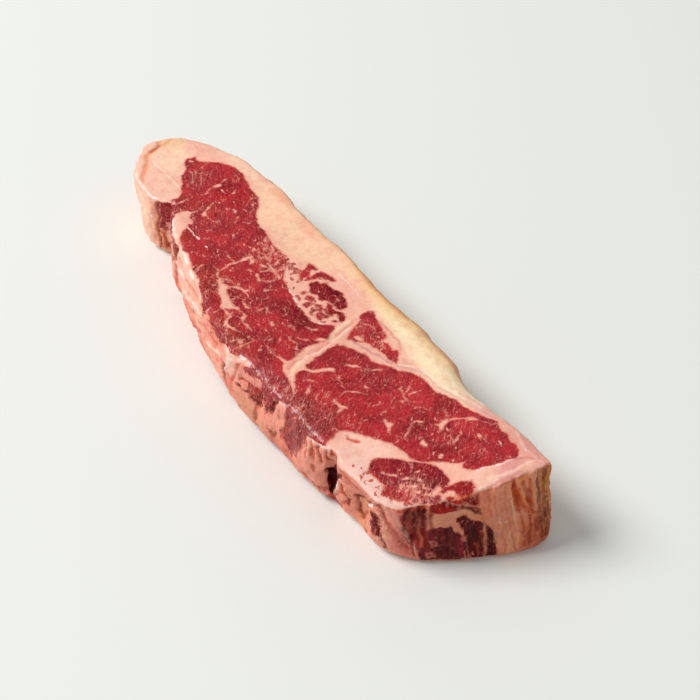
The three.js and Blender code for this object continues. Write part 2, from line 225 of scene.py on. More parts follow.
# Veins of fat: points along the vein, then its half-widths along it
VEINS = [
    ([(-96, 23), (-95.2, 20.7), (-94.3, 18), (-94.7, 16), (-95.3, 12.7), (-94, 10.7), (-92.7, 8.7),
      (-93.3, 6)], [0.2, 0.7, 0.95, 0.8, 0.5, 0.55, 0.6, 0.2]),
    ([(-87, 22), (-85.7, 20.3), (-85, 17.3)], [0.6, 0.55, 0.2]),
    ([(-86, 9.3), (-83.3, 3.3), (-82, 2)], [0.25, 0.4, 0.5]),
    ([(-78.7, 0.7), (-76.7, -0.1), (-74.7, 0.3), (-73, 1)], [0.5, 0.5, 0.45, 0.3]),
    ([(-76.7, 25.3), (-74, 20.7), (-70.7, 16), (-69, 12.7), (-67, 9.3), (-65.7, 7.3)],
     [0.5, 0.4, 0.35, 0.35, 0.3, 0.75]),
    ([(-75.3, 25.3), (-72, 22.7), (-69.3, 21.3), (-66.7, 16.7), (-64.7, 12.7)],
     [0.4, 0.35, 0.3, 0.3, 0.15]),
    ([(-75, 27.4), (-71, 24.4), (-68.5, 22)], [0.4, 0.35, 0.2]),
    ([(-63.5, 10.8), (-61.3, 13.3)], [0.4, 0.6]),
    ([(-95.3, 2.7), (-94.7, -3.3), (-94.7, -6.7)], [0.2, 0.45, 0.5]),
    ([(-85.7, -3.5), (-85, -0.7), (-86, 1.5)], [0.5, 0.35, 0.1]),
    ([(-40, 0.2), (-40.6, -2), (-41, -5.3), (-42.3, -10.7), (-41.7, -14), (-41.3, -17.3), (-39, -20)],
     [1.2, 0.9, 0.8, 0.85, 0.8, 0.7, 0.5]),
    ([(-47, -16.7), (-42.3, -17)], [0.3, 0.6]),
    ([(-37, -1.6), (-40, -0.6), (-47.7, -1)], [0.4, 0.4, 0.15]),
    ([(-29.7, -13.6), (-28.3, -16.4), (-30.4, -18.9)], [0.4, 0.7, 0.7]),
    ([(-28.3, -16.4), (-25.4, -14.9), (-22.8, -14.6), (-23.2, -12.7)], [0.6, 0.5, 0.6, 0.35]),
    ([(-51.7, -7.3), (-43.7, -8.1)], [0.3, 0.35]),
    ([(-51.3, -7.3), (-50.7, -14)], [0.3, 0.2]),
    ([(-43.8, 4.2), (-42.6, 2.6)], [1.1, 1.0]),
    ([(-59, 3), (-55.7, 0)], [0.3, 0.4]),
    ([(-55.3, -17), (-52.3, -16.3)], [0.3, 0.35]),
    ([(-50.3, -20), (-48.3, -25.3)], [0.2, 0.35]),
    ([(-45, 12.7), (-41.7, 8.9), (-37.7, 7.7), (-34.3, 6.3), (-31.7, 4), (-28.3, 3.3), (-25, 4), (-21, 2.4)],
     [0.3, 0.5, 0.6, 0.6, 0.8, 0.7, 0.6, 0.6]),
    ([(-33, 1), (-31, 1.8)], [1.1, 1.2]),
    ([(-47, 13.6), (-43.6, 9.4), (-42, 5.4), (-43.4, 1.4)], [0.5, 0.55, 0.4, 0.3]),
    ([(-42, 5.4), (-39, 4.6), (-36.4, 5.6)], [0.35, 0.45, 0.5]),
    ([(-41.4, 12.8), (-39.4, 10.2), (-37, 9.6), (-34.6, 10.6), (-32.4, 12.6)], [0.6, 0.5, 0.4, 0.5, 0.7]),
    ([(-35.8, 12.4), (-35.2, 9), (-33.4, 6)], [0.7, 0.45, 0.45]),
    ([(-30.4, 12.2), (-30.8, 8.6), (-28.8, 5.6), (-27.4, 3.8)], [0.7, 0.5, 0.4, 0.5]),
    ([(-31, 8.8), (-27.6, 8.4), (-24.8, 6)], [0.4, 0.45, 0.6]),
    ([(-25.6, 9.4), (-26.2, 6.6), (-24.6, 4.2)], [0.6, 0.4, 0.5]),
    ([(-37.4, 7.6), (-36.6, 3.4), (-38, 0.4), (-36.8, -2.6)], [0.45, 0.35, 0.4, 0.2]),
    ([(-28.8, 3.2), (-28.2, 0.2), (-29.6, -2)], [0.45, 0.3, 0.25]),
    ([(-9.6, -13), (-6.4, -14.6), (-3.6, -14)], [0.25, 0.4, 0.25]),
    ([(-18.4, -19.4), (-14.6, -20.4), (-12.4, -19.4)], [0.3, 0.45, 0.3]),
    ([(-2.4, -22), (1.4, -23.2), (4.4, -22.2)], [0.25, 0.45, 0.3]),
    ([(8.2, -12.4), (10.4, -10.6)], [0.35, 0.4]),
    ([(84, 4.6), (81.4, 3.4), (80.2, 1)], [0.3, 0.45, 0.25]),
    ([(102.4, 4.6), (104.8, 3.2), (105.6, 0.8)], [0.3, 0.45, 0.3]),
    ([(-21.5, -0.4), (-22.3, -3.5), (-25.3, -5.8), (-29.2, -4.3)], [0.4, 0.75, 0.6, 0.5]),
    ([(-15.4, -3.7), (-18.3, -7.6)], [0.7, 0.6]),
    ([(-13.3, -9.2), (-13.1, -11.4)], [0.5, 0.55]),
    ([(-8.7, -14.9), (-8.7, -17)], [0.6, 0.65]),
    ([(1.6, -17.7), (3, -17.9)], [0.75, 0.85]),
    ([(17.7, -2.3), (17.3, -4), (15, -6.3), (13, -6.7)], [0.3, 0.5, 0.6, 0.3]),
    ([(-1, -5.7), (-3.7, -8.3)], [0.4, 0.3]),
    ([(24.9, -4.7), (21.7, -8), (21, -9.3)], [0.9, 0.5, 0.2]),
    ([(20.3, -10.7), (15.7, -14)], [0.3, 0.25]),
    ([(11, -17.3), (15.7, -16.7), (19.7, -16), (22.3, -18)], [0.3, 0.4, 0.45, 0.3]),
    ([(-20, -28.9), (-16.3, -29), (-13.7, -30), (-12.7, -32), (-10.3, -33.7), (-8.3, -34), (-5.7, -32.7),
      (-3.7, -32.3)], [1.1, 0.7, 0.8, 1.0, 0.9, 0.8, 0.7, 0.4]),
    ([(-16.5, -24.2), (-12, -23.8), (-9.7, -23.9), (-8.8, -25.8), (-7, -27), (-3.7, -26.7), (-0.3, -27)],
     [0.8, 0.6, 0.9, 1.0, 0.7, 0.6, 0.35]),
    ([(-20.3, -30), (-20.3, -33.3)], [0.4, 0.25]),
    ([(-15, -34.7), (-14.3, -36.7)], [0.45, 0.35]),
    ([(-24, -32.7), (-24, -34.7)], [0.4, 0.35]),
    ([(1.3, -34.7), (0.3, -37.3)], [0.7, 0.7]),
    ([(6.3, -30), (5.7, -34.7), (3.7, -40)], [0.4, 0.35, 0.4]),
    ([(2.3, -30.3), (7.7, -29.3)], [0.4, 0.4]),
    ([(25.8, -26), (21, -27), (17, -28), (11.7, -27.3)], [1.1, 0.65, 0.6, 0.35]),
    ([(26.3, 14.7), (28.3, 16.3), (31, 17), (33, 16.7)], [0.25, 0.45, 0.45, 0.3]),
    ([(35.7, 12.7), (39, 12.3), (43.7, 13.3), (48, 13)], [0.3, 0.4, 0.3, 0.2]),
    ([(36.7, 15.3), (37.4, 14.4)], [0.5, 0.3]),
    ([(53.3, 4.3), (51, 2), (50.7, 0.3), (48, -1.3), (44.7, -3.3), (41.7, -6.7)],
     [0.3, 0.8, 0.7, 0.65, 1.05, 0.45]),
    ([(41, -13.8), (46, -14.1), (50, -14.3), (51.3, -15.3), (53.3, -15)], [0.6, 0.4, 0.4, 0.4, 0.25]),
    ([(55.3, -15), (56.7, -12.7), (60, -11)], [0.4, 0.5, 0.4]),
    ([(55, -16), (55, -19.3), (56, -22)], [0.35, 0.5, 0.5]),
    ([(56, -22), (56.7, -23.3), (60, -23.4), (63.3, -22)], [0.8, 0.9, 0.65, 0.4]),
    ([(62, -23.3), (62.7, -26), (64.3, -28.7)], [0.6, 0.45, 0.3]),
    ([(66, 11.3), (67.3, 9.3), (68.7, 6.7), (70, 4), (71.3, 2), (74.3, 1.3)],
     [0.6, 0.5, 0.45, 0.5, 0.7, 0.4]),
    ([(73.3, 10.3), (72.7, 7.3), (72, 4.7)], [0.3, 0.45, 0.3]),
    ([(73.2, -0.4), (74.4, -0.8)], [0.75, 0.85]),
    ([(66, 3.2), (66.6, 3.4)], [0.45, 0.5]),
    ([(57.3, -7.3), (60.5, -6.7), (64.7, -6), (66, -6.7)], [0.8, 0.35, 0.35, 0.2]),
    ([(68.7, -9.3), (68, -11.7)], [0.4, 0.5]),
    ([(73.4, -10), (74.3, -10)], [0.5, 0.55]),
    ([(73, -19), (72.7, -22)], [0.45, 0.4]),
    ([(43.7, -22.7), (40, -24.7)], [0.5, 0.65]),
    ([(44, -27), (45.2, -28.6)], [0.7, 0.9]),
    ([(46.7, -40), (48.7, -37.7), (51.3, -37.7), (54, -38.3)], [0.5, 0.65, 0.5, 0.3]),
    ([(89.3, 9.7), (89.2, 8.8), (91, 8.7), (92.7, 7.4)], [0.4, 0.5, 0.5, 0.6]),
    ([(110, 19.3), (108.3, 17.3), (105, 16), (101.7, 14.7), (99.7, 12.7), (97, 10.7), (95.7, 8.7),
      (94.7, 6.3)], [0.5, 0.45, 0.4, 0.5, 0.75, 0.7, 0.75, 1.2]),
    ([(88.3, -0.7), (88, -2), (86, -3.3), (85.7, -5.3), (87, -8), (89, -10.7), (90.3, -13.7)],
     [0.4, 0.7, 0.85, 0.6, 0.5, 0.55, 0.5]),
    ([(87.7, -14.7), (90.3, -15.7), (90, -17.3)], [0.3, 0.4, 0.4]),
    ([(108.3, 10), (111, 9.7), (113.7, 8.3), (117, 6.7)], [0.25, 0.4, 0.35, 0.3]),
    ([(107.3, -6.8), (107.7, -8.2)], [0.45, 0.5]),
    ([(98, -30), (101, -28.7), (104.3, -26.7), (107, -24), (109.7, -22), (113.7, -21.3)],
     [0.3, 0.5, 0.45, 0.45, 0.5, 0.45]),
    ([(106, -21.5), (107.4, -18.8)], [0.3, 0.3]),
    ([(108.3, -30), (111, -26), (112.3, -24.3), (116.3, -24.7), (120.3, -25.3)], [0.7, 0.6, 0.6, 0.6, 0.5]),
    ([(-119.8, 17.2), (-118.9, 17.4)], [0.9, 0.9]),
    ([(-112, 19), (-111.8, 18.3)], [0.5, 0.5]),
    ([(-112.6, 12.2), (-111.8, 12.4)], [0.7, 0.6]),
    ([(-95.4, 28.2), (-95.2, 27.6)], [0.6, 0.6]),
    ([(-97.4, -6.3), (-96.4, -7.1)], [0.6, 0.6]),
]
# Painted highlights: bright hair-thin lines and wet edges
GLINTS = [
    ([(-92, 17.3), (-89.3, 16.9), (-87.3, 17)], 0.32), ([(-80, 16.7), (-77, 15.7)], 0.28),
    ([(-75, 13.3), (-72.3, 12.7)], 0.42), ([(-77.7, 11.3), (-76.3, 10.7)], 0.35),
    ([(-84.6, 10.9), (-83.6, 10.5)], 0.4), ([(-72, 17.3), (-69.3, 17.3)], 0.25),
    ([(-78.7, 0.7), (-76.7, -0.2), (-74.7, 0.2), (-73, 0.9)], 0.3),
    ([(-77, -11.7), (-73, -12.2), (-70, -12.3), (-68, -11.6), (-66.3, -11.8)], 0.5),
    ([(-96.3, -10.9), (-92.3, -11.6), (-88.6, -12)], 0.35), ([(-59.4, -12.3), (-58.4, -12.3)], 0.45),
    ([(-21.7, -15.3), (-15.7, -16)], 0.24),
    ([(-8, 26.3), (-3, 25.7), (2.3, 25.7), (7.7, 25.3), (11, 24.3)], 0.35),
    ([(-13.7, 2.2), (-9.7, 1), (-5.7, 0.1), (-1.7, -0.8), (2.3, -1.7)], 0.4),
    ([(13.5, -0.6), (15.6, 0.1)], 0.5), ([(11.4, -2.2), (13.2, -2)], 0.4),
    ([(117.7, 13.7), (121.7, 12.7)], 0.24),
    ([(129.8, 15), (129.1, 12), (127.8, 8.7), (126.4, 5.3), (124.4, 1.3), (122.9, -2.7)], 0.4),
    ([(-132, 2.7), (-127.3, 1.5), (-120, 2), (-112, 1.8), (-107.3, 1.3), (-103.3, 0.6)], 0.45),
]
# Lean meat that isn't the plain red: which island, its colour
ISLAND_COLOURS = {
    "dark lobe of the oval": LEAN_DARK,
    "second arm": (150, 14, 24),
    "streaky end meat": (164, 22, 28),
    "heart of the knob": LEAN_ORANGE,
}
# A shade is a soft oval of colour: centre, radii, colour, strength
UPPER_FAT_SHADES = [
    ((-128, 10), (16, 12), FAT_PEACH, 1.0), ((-139, 19), (7, 7), (240, 200, 156), 0.8),
    ((-118, -4), (18, 7), (250, 198, 174), 0.8), ((-95, 37), (30, 6), FAT_PEACH, 0.9),
    ((-60, 30), (26, 13), FAT_CREAM, 1.0), ((-30, 28), (22, 12), FAT_CREAM, 1.0),
    ((-86, 38), (4, 2), FAT_ROSE, 0.4), ((-68, 37.6), (11, 3), (240, 162, 122), 0.5),
    ((-42, 34), (9, 3), (243, 172, 130), 0.5), ((-20, 35), (8, 2.4), (244, 178, 134), 0.4),
    ((0, 34), (26, 7), FAT_CREAM, 1.0), ((40, 29), (24, 7), FAT_YELLOW, 1.0),
    ((72, 24), (28, 8), FAT_YELLOW, 1.0), ((100, 21.4), (14, 2.4), SILVERSKIN, 0.7),
    ((126, 20), (14, 4), (222, 156, 142), 0.9), ((131.2, 8), (4.5, 8), (216, 142, 136), 0.75),
    ((128, -4), (6, 8), (246, 196, 174), 0.8), ((86, -35), (10, 3), (232, 156, 148), 0.6),
    ((37, 31), (16, 3), (250, 214, 168), 0.5), ((85, -29), (14, 10), (248, 198, 178), 1.0),
    ((100, -37), (20, 4), (244, 200, 186), 0.9), ((-50, -30), (34, 8), (246, 176, 156), 0.8),
    ((-96, -9), (10, 6), (250, 200, 182), 0.8),
]
UPPER_LEAN_SHADES = [
    ((4, -7), (14, 5), LEAN_DARK, 0.8), ((-105, 11), (9, 8), (150, 22, 34), 0.6),
    ((-71.7, -16.5), (4, 3.5), LEAN_ORANGE, 0.5), ((-96, -8), (5, 8), (170, 40, 40), 0.6),
    ((30, -38), (16, 6), LEAN_PURPLE, 0.8), ((56, -36), (16, 9), (156, 44, 46), 0.7),
    ((-42, -24), (12, 7), (146, 34, 24), 0.8), ((-5, -36), (20, 6), (150, 40, 30), 0.7),
    ((103, -1), (20, 8), (150, 16, 30), 0.5), ((102, -37), (18, 4), LEAN_ORANGE, 0.7),
    ((-84, 18), (10, 8), (164, 12, 24), 0.6),
]
# A stroke is a soft line: points, half-width, softness, colour, strength, relief in mm
UPPER_STROKES = [
    # The tip's orange groove: orange fat with painted shade, darkest in the second stroke
    ([(-143.3, 14), (-140, 10.7), (-138.7, 8), (-138.3, 5.3), (-136.7, 2), (-133.3, 0), (-130, -2.3),
      (-126.7, -5.3), (-123.3, -8.7), (-120, -10.7)], 0.3, 1.6, (236, 150, 104), 0.8, -0.4),
    ([(-140.4, 11.6), (-139.2, 8.6), (-138.4, 5.2)], 0.3, 1.1, (196, 84, 36), 0.8, -0.1),
    ([(-142, 20), (-140, 16.4), (-139.6, 13.4)], 0.2, 1.6, (226, 150, 92), 0.6, -0.1),
    ([(34, 4.7), (38.7, 6.3), (43.3, 7.7), (47.3, 8.7), (52.7, 9.7)], 0.2, 0.7, (190, 130, 134), 0.7, -0.2),
    ([(30, 21.6), (40, 21.2), (44.7, 20.2), (48.7, 18.2)], 0.1, 0.7, (196, 84, 76), 0.6, 0),
    ([(22.4, 14), (24, 5), (26.5, -3), (26.6, -14), (28.5, -24), (31, -28)], 0.4, 1.4, FAT_ROSE, 0.6, -0.2),
    ([(27, 2), (28.2, -6), (28.6, -15)], 0.2, 0.8, FAT_SALMON, 0.5, -0.1),
    ([(22.6, 12), (24.4, 4), (27.2, -5), (27.8, -12)], 0.1, 0.5, (210, 98, 88), 0.65, -0.3),
    ([(25.2, 9), (26.8, 1), (28.4, -8), (28.6, -16)], 0.1, 0.6, (255, 228, 208), 0.7, 0.2),
    ([(28, -18), (27.4, -23), (29.6, -28)], 0.1, 0.5, (214, 104, 92), 0.6, -0.2),
    ([(74.6, -30.6), (75.6, -31.2), (77, -30.4), (78.6, -29.4), (80, -28.3)],
     0.35, 0.6, (204, 72, 50), 0.9, -0.2),
    ([(134.4, 17), (133.6, 10), (131.6, 3), (129, -4)], 0.1, 1.0, (252, 218, 198), 0.6, 0.1),
    ([(21.4, 11), (23, 3), (25.6, -3)], 0.4, 1.5, (254, 220, 186), 0.7, 0.1),
    ([(27.6, -17), (29, -22), (32, -27.6)], 0.4, 1.5, (254, 216, 184), 0.7, 0.1),
    ([(24.6, -19), (26.6, -24), (28.6, -28)], 0.2, 1.1, FAT_SALMON, 0.6, -0.1),
    ([(56, 10.8), (60, 14.4), (64, 16.8), (70, 17.2), (76, 16.4), (84, 17.8), (92, 18.8), (100, 19.8),
      (108, 22)], 0.0, 0.9, (206, 150, 150), 0.6, -0.1),
    ([(56, 12.4), (62, 18), (72, 19), (84, 19.8), (98, 21.6)], 0.1, 0.8, (254, 226, 204), 0.6, 0.1),
    ([(127.4, -16), (129.8, -13), (132.6, -6), (134, -3)], 0.5, 1.0, (226, 106, 62), 0.85, 0),
    ([(134, -3), (136, 4), (138, 10)], 0.3, 1.2, (244, 168, 128), 0.7, 0.2),
    ([(138, 10), (139.4, 15), (141, 22)], 0.5, 1.4, (200, 126, 74), 0.8, 0),
    ([(131.6, -6), (133.6, 2), (135.6, 10)], 0.1, 0.8, (226, 132, 112), 0.6, -0.2),
    ([(129.4, -9), (131, -4), (132.4, 1)], 0.1, 0.7, (254, 218, 200), 0.7, 0.2),
    ([(124, 21.4), (130, 21), (136, 20.4)], 0.1, 1.0, (220, 150, 140), 0.6, -0.1),
    ([(119, 22.4), (126, 19), (131, 18.6), (137, 19)], 0.1, 0.8, (250, 206, 194), 0.6, 0.1),
    ([(126, 10.6), (130, 13), (133.6, 18)], 0.1, 0.9, (204, 116, 112), 0.6, -0.2),
]
# Where fine marbling is close: centre, radii, density
MARBLING = [
    ((-33, 7), (20, 9), 1.0), ((-10, -20), (40, 16), 0.5), ((-45, -5), (25, 18), 0.4),
    ((60, -30), (26, 14), 0.5), ((70, -4), (30, 14), 0.42), ((105, 2), (22, 12), 0.45),
    ((-106, 12), (10, 9), 0.3), ((-2, -37), (26, 6), 0.7), ((35, 13), (14, 6), 0.7),
    ((-88, -2), (12, 8), 0.5), ((103, -22), (12, 6), 0.3), ((8, 5), (12, 5), 0.6),
    ((113, -28), (12, 8), 1.0), ((-30, -20), (14, 10), 0.7),
]
# Where small bits of lean meat lie in the fat: centre, radii, density
SPECKLES = [
    ((-27, 9), (11, 8), 1.0), ((-16, 9), (7, 9), 1.0), ((0, 4), (17, 5), 0.95), ((-14, 17), (8, 6), 0.9),
    ((12, 4), (8, 6), 1.0), ((19, 8), (4, 5), 0.7), ((44, 13.5), (10, 3.5), 0.95), ((32, 7), (4, 3), 0.8),
    ((113, -27), (15, 9), 1.1), ((124, -15), (8, 7), 0.8), ((100, -36.6), (18, 4), 0.95),
    ((-117, 14), (4, 8), 0.6), ((-94, -11), (6, 4), 0.5), ((26, -34), (10, 4), 0.5),
    ((8, -41), (10, 2.5), 0.5), ((86, -36), (8, 2), 0.5),
]
# Where hair-thin pale fibres run through the lean meat: centre, radii, density
FIBRES = [
    ((57, -35), (17, 10), 0.8), ((34, -38), (18, 6), 0.9), ((2, -38), (24, 5), 0.6),
    ((115, -24), (11, 8), 1.0), ((-30, 9), (15, 8), 0.3), ((3, 5), (14, 5), 0.5),
    ((100, -33), (14, 5), 0.6), ((-42, -25), (14, 6), 0.5), ((32, 14), (14, 6), 0.6),
    ((-106, 13), (9, 8), 1.0), ((96, 4), (30, 12), 0.15), ((66, 2), (24, 12), 0.15),
    ((-80, 0), (24, 16), 0.3),
]

# The long side without the rind: X along the slice, then height
SIDE_SHADES = [
    ((-120, 18), (16, 34), (251, 208, 182), 1.0), ((-97, 18), (5, 11), (250, 214, 202), 0.9),
    ((-102, 9), (3, 7), (232, 166, 122), 0.9), ((-83, 22), (12, 7), (222, 128, 80), 0.8),
    ((-62, 25), (18, 13), (251, 202, 184), 0.9), ((-40, 22), (16, 13), (250, 190, 166), 0.9),
    ((-50, 4), (36, 6), (224, 118, 100), 0.8), ((-14, 24), (12, 7), (240, 150, 126), 0.8),
    ((-14, 12), (14, 8), (247, 180, 156), 0.8), ((4, 25), (8, 9), (250, 196, 178), 0.9),
    ((2, 12), (4, 6), (210, 104, 78), 0.8), ((20, 11), (15, 8), (222, 154, 122), 0.9),
    ((18, 30), (8, 4), (238, 156, 146), 0.7), ((41, 24), (6, 11), (246, 166, 144), 0.9),
    ((45, 7), (10, 6), (214, 108, 92), 0.7), ((66, 15), (9, 11), (228, 150, 130), 0.9),
    ((84, 33), (5, 4), (252, 210, 192), 1.0), ((80, 15), (3, 9), (250, 200, 184), 0.8),
    ((94, 29), (14, 4), (218, 140, 120), 0.9), ((87, 14), (5, 9), (244, 158, 130), 0.9),
    ((98, 15), (5, 9), (226, 158, 118), 0.9), ((112, 16), (6, 16), (238, 174, 150), 0.9),
    ((77, 30), (4, 6), (240, 150, 124), 0.9),
]
SIDE_SPECKLES = [
    ((-45, 5), (40, 5), 0.6), ((5, 6), (40, 5), 0.5), ((46, 12), (8, 10), 0.6), ((95, 10), (14, 8), 0.6),
    ((-82, 26), (14, 6), 0.6), ((20, 26), (12, 6), 0.8), ((-20, 27), (20, 5), 0.7),
    ((112, 12), (8, 14), 0.7),
]
SIDE_LEAN = [
    ([(-103, 36), (-100, 36), (-99.5, 24), (-101, 16), (-103, 18)], LEAN_PURPLE),
    ([(-101, 36), (-93, 36), (-93, 28.5), (-97, 27.5), (-101, 30)], (160, 26, 40)),
    ([(-93, 36), (-80, 36), (-81, 29), (-86, 26.5), (-93, 27)], LEAN_PURPLE),
    ([(-79, 30), (-74, 33), (-70, 34), (-69, 27), (-74, 24.5)], LEAN_BROWN),
    ([(-31, 37), (-23, 37), (-24, 31.5), (-29, 30)], (168, 24, 30)),
    ([(-21, 37), (-1, 37), (-4, 30.5), (-12, 28), (-19, 29.5)], (164, 28, 32)),
    ([(12, 37), (23, 37), (22, 31), (14, 30)], (196, 70, 72)),
    ([(17, 25.4), (24, 27), (29, 25), (28, 20.4), (22, 19.4), (18, 21)], (164, 54, 46)),
    ([(26, 29), (29, 33.5), (34, 34.4), (38, 31), (37.5, 26), (33, 22), (28.5, 23)], (166, 44, 60)),
    # The hollow's right edge: dark red meat, darkened with painted shade
    ([(36.4, 33), (39, 31), (38.4, 25), (34, 21.6), (32.4, 22.2), (37, 27)], (136, 12, 16)),
    ([(46, 37), (63, 37), (61, 25), (57, 15), (51, 10), (45, 16), (46, 26)], (182, 82, 84)),
    ([(53, 36), (63.5, 36), (61.5, 26), (56, 21), (54, 27)], (134, 40, 44)),
    # The cleft's near-black wedge: painted shade in the gap
    ([(79.6, 27.6), (86.8, 27.8), (83.6, 22), (80.6, 15.4), (78.2, 8.6), (77, 9), (77.6, 16), (79.6, 22)],
     CLEFT_SHADE_DEEP),
    ([(103.5, 23), (108, 24), (109, 13), (105.4, 10), (103, 15)], (132, 18, 18)),
]
SIDE_STROKES = [
    ([(-106, 31), (-105.3, 20), (-106, 9)], 0.4, 1.4, (214, 124, 88), 0.6, -0.3),
    ([(-103.6, 34), (-103.8, 20), (-103.4, 5)], 0.3, 1.0, (150, 40, 22), 0.8, -1.1),
    ([(-103.4, 15), (-101, 14.4), (-99.9, 9), (-100.6, 3.4)], 0.3, 0.9, (186, 84, 38), 0.8, -0.6),
    ([(-99.4, 8), (-96, 6)], 0.8, 1.2, (140, 54, 28), 0.8, -0.6),
    ([(-92, 17), (-86, 23), (-80, 29), (-76, 32)], 0.5, 1.4, (170, 44, 22), 0.9, -0.6),
    ([(-92, 26.4), (-86, 31), (-83, 33)], 0.3, 1.0, (120, 26, 24), 0.8, -0.5),
    ([(-70, 32), (-70.4, 27), (-75, 21), (-84, 13)], 0.4, 1.2, (150, 54, 24), 0.8, -0.6),
    ([(-72, 21), (-71.6, 13), (-73, 8), (-70, 4.6), (-66, 4)], 0.3, 1.3, (200, 76, 72), 0.7, -0.6),
    ([(-68, 19), (-64, 21), (-60, 24)], 0.5, 1.6, (255, 232, 214), 0.8, 0.4),
    ([(-66, 28.5), (-58, 26.6), (-48, 27.6), (-38, 30)], 0.3, 1.6, (226, 110, 92), 0.7, -0.4),
    ([(-60, 16), (-50, 19), (-40, 22), (-30, 27)], 0.4, 1.8, (255, 230, 216), 0.7, 0.4),
    ([(-62, 11.4), (-48, 13), (-36, 17.6), (-28, 22)], 0.3, 1.6, (222, 104, 88), 0.7, -0.5),
    ([(-44, 4), (-38, 10), (-32, 15)], 0.5, 1.6, (214, 80, 76), 0.8, -0.5),
    ([(-26, 24), (-18, 22), (-10, 20), (-4, 20.4)], 0.3, 1.6, (220, 90, 70), 0.7, -0.5),
    ([(-22, 15), (-14, 17), (-6, 23)], 0.4, 1.6, (255, 222, 204), 0.7, 0.4),
    ([(-13, 12), (-11, 16)], 0.8, 1.4, (222, 76, 62), 0.8, -0.3),
    ([(-1, 22), (-3.8, 18), (-5, 13), (-4, 8), (-2.6, 5.6)], 0.25, 0.8, (140, 50, 40), 0.8, -1.1),
    ([(-2, 17), (0.4, 23), (4, 28), (6, 32)], 0.6, 1.6, (255, 226, 212), 0.7, 0.5),
    ([(3, 15), (6, 20), (9.6, 27), (11, 31)], 0.25, 1.1, (222, 104, 88), 0.8, -0.7),
    # A dark crease line: painted shade in the fold
    ([(5.5, 17.6), (8, 18.6), (12, 19.4), (18, 20), (25, 19.9), (28, 21)],
     0.35, 0.8, (104, 30, 16), 0.95, -1.4),
    ([(12, 23), (15, 25.4), (20, 26), (26, 25.4)], 0.25, 0.9, (196, 56, 46), 0.8, -0.6),
    ([(26, 19), (25.6, 15), (24, 8)], 0.2, 1.0, (180, 70, 46), 0.7, -0.5),
    # The hollow's right edge: dark red meat, darkened with painted shade
    ([(38.8, 33), (38.6, 28), (36.4, 23.6), (32, 21)], 0.3, 0.8, (110, 8, 10), 0.9, -1.0),
    ([(37, 13), (39, 10.4), (40.4, 14)], 0.4, 0.9, (130, 40, 24), 0.7, -0.8),
    ([(47, 31), (46, 22), (44, 15)], 0.3, 1.2, (196, 60, 52), 0.7, -0.6),
    ([(62.6, 31), (64, 27), (64.4, 22)], 0.3, 0.7, (196, 52, 40), 0.85, -0.7),
    ([(64, 32), (65.6, 28), (66, 24)], 0.2, 0.7, (255, 206, 180), 0.5, 0.1),
    ([(66, 31), (67.6, 27), (68.4, 23.6)], 0.3, 0.7, (186, 48, 36), 0.85, -0.7),
    ([(69.6, 32), (71, 27.4), (72.4, 24)], 0.3, 0.7, (170, 44, 32), 0.85, -0.7),
    ([(73.4, 34), (74.4, 30), (75.4, 25.6)], 0.25, 0.6, (186, 44, 34), 0.85, -0.4),
    ([(74.8, 34), (75.8, 30), (76.6, 26)], 0.2, 0.6, (255, 206, 180), 0.6, 0.2),
    ([(76.2, 34), (77.4, 30), (78.6, 26.6)], 0.25, 0.6, (178, 40, 30), 0.85, -0.4),
    ([(68.6, 17.6), (68.4, 20)], 0.5, 0.9, (150, 60, 44), 0.7, -0.3),
    ([(60, 6.6), (67, 6), (74, 8)], 0.5, 1.4, (176, 66, 44), 0.8, -0.4),
    # Painted shade down the cleft, over a sunk groove
    ([(75.4, 20), (76, 14), (76.4, 8)], 0.6, 0.8, CLEFT_SHADE_DEEP, 1.0, -3.0),
    ([(76.2, 5), (77.4, 3)], 0.9, 0.8, (222, 58, 26), 0.9, 0),
    # Pale streaks, partly painted highlight
    ([(78.2, 9), (81, 14), (84.6, 21), (85.8, 25)], 0.4, 0.8, (255, 226, 210), 0.9, 0.5),
    ([(84, 25), (88, 20), (91, 17), (90, 13)], 0.35, 0.8, (150, 28, 22), 0.9, -0.9),
    ([(82, 12), (85, 17), (87, 19)], 0.25, 0.8, (196, 60, 48), 0.8, -0.5),
    ([(85, 9), (88, 13), (90, 16)], 0.25, 0.8, (200, 70, 54), 0.8, -0.5),
    # A dark crease: painted shade in the fold
    ([(94, 22), (97, 23.6), (99, 24), (102, 26), (105, 26.6)], 0.5, 0.8, CREASE_SHADE, 0.9, -1.2),
    # Painted highlight beneath the crease
    ([(102, 24.2), (104, 26)], 0.4, 0.6, (255, 240, 228), 0.9, 0.2),
    ([(94, 22), (94.8, 17), (94.8, 13), (97, 10)], 0.3, 0.8, (150, 40, 26), 0.85, -0.8),
    ([(101, 21.4), (99, 15), (97, 11)], 0.3, 0.8, (166, 60, 40), 0.8, -0.7),
    ([(84, 31), (92, 28.6), (100, 27.6), (106, 28.4)], 0.2, 1.0, (190, 90, 78), 0.7, -0.4),
    ([(108, 30), (111, 24), (115, 15), (119, 6)], 0.3, 1.0, (176, 54, 44), 0.8, -0.5),
    ([(106, 22), (109.6, 14), (112, 6)], 0.3, 1.0, (120, 24, 20), 0.8, -0.5),
    ([(112, 30), (116, 22), (121, 11)], 0.25, 1.0, (184, 72, 60), 0.8, -0.5),
]
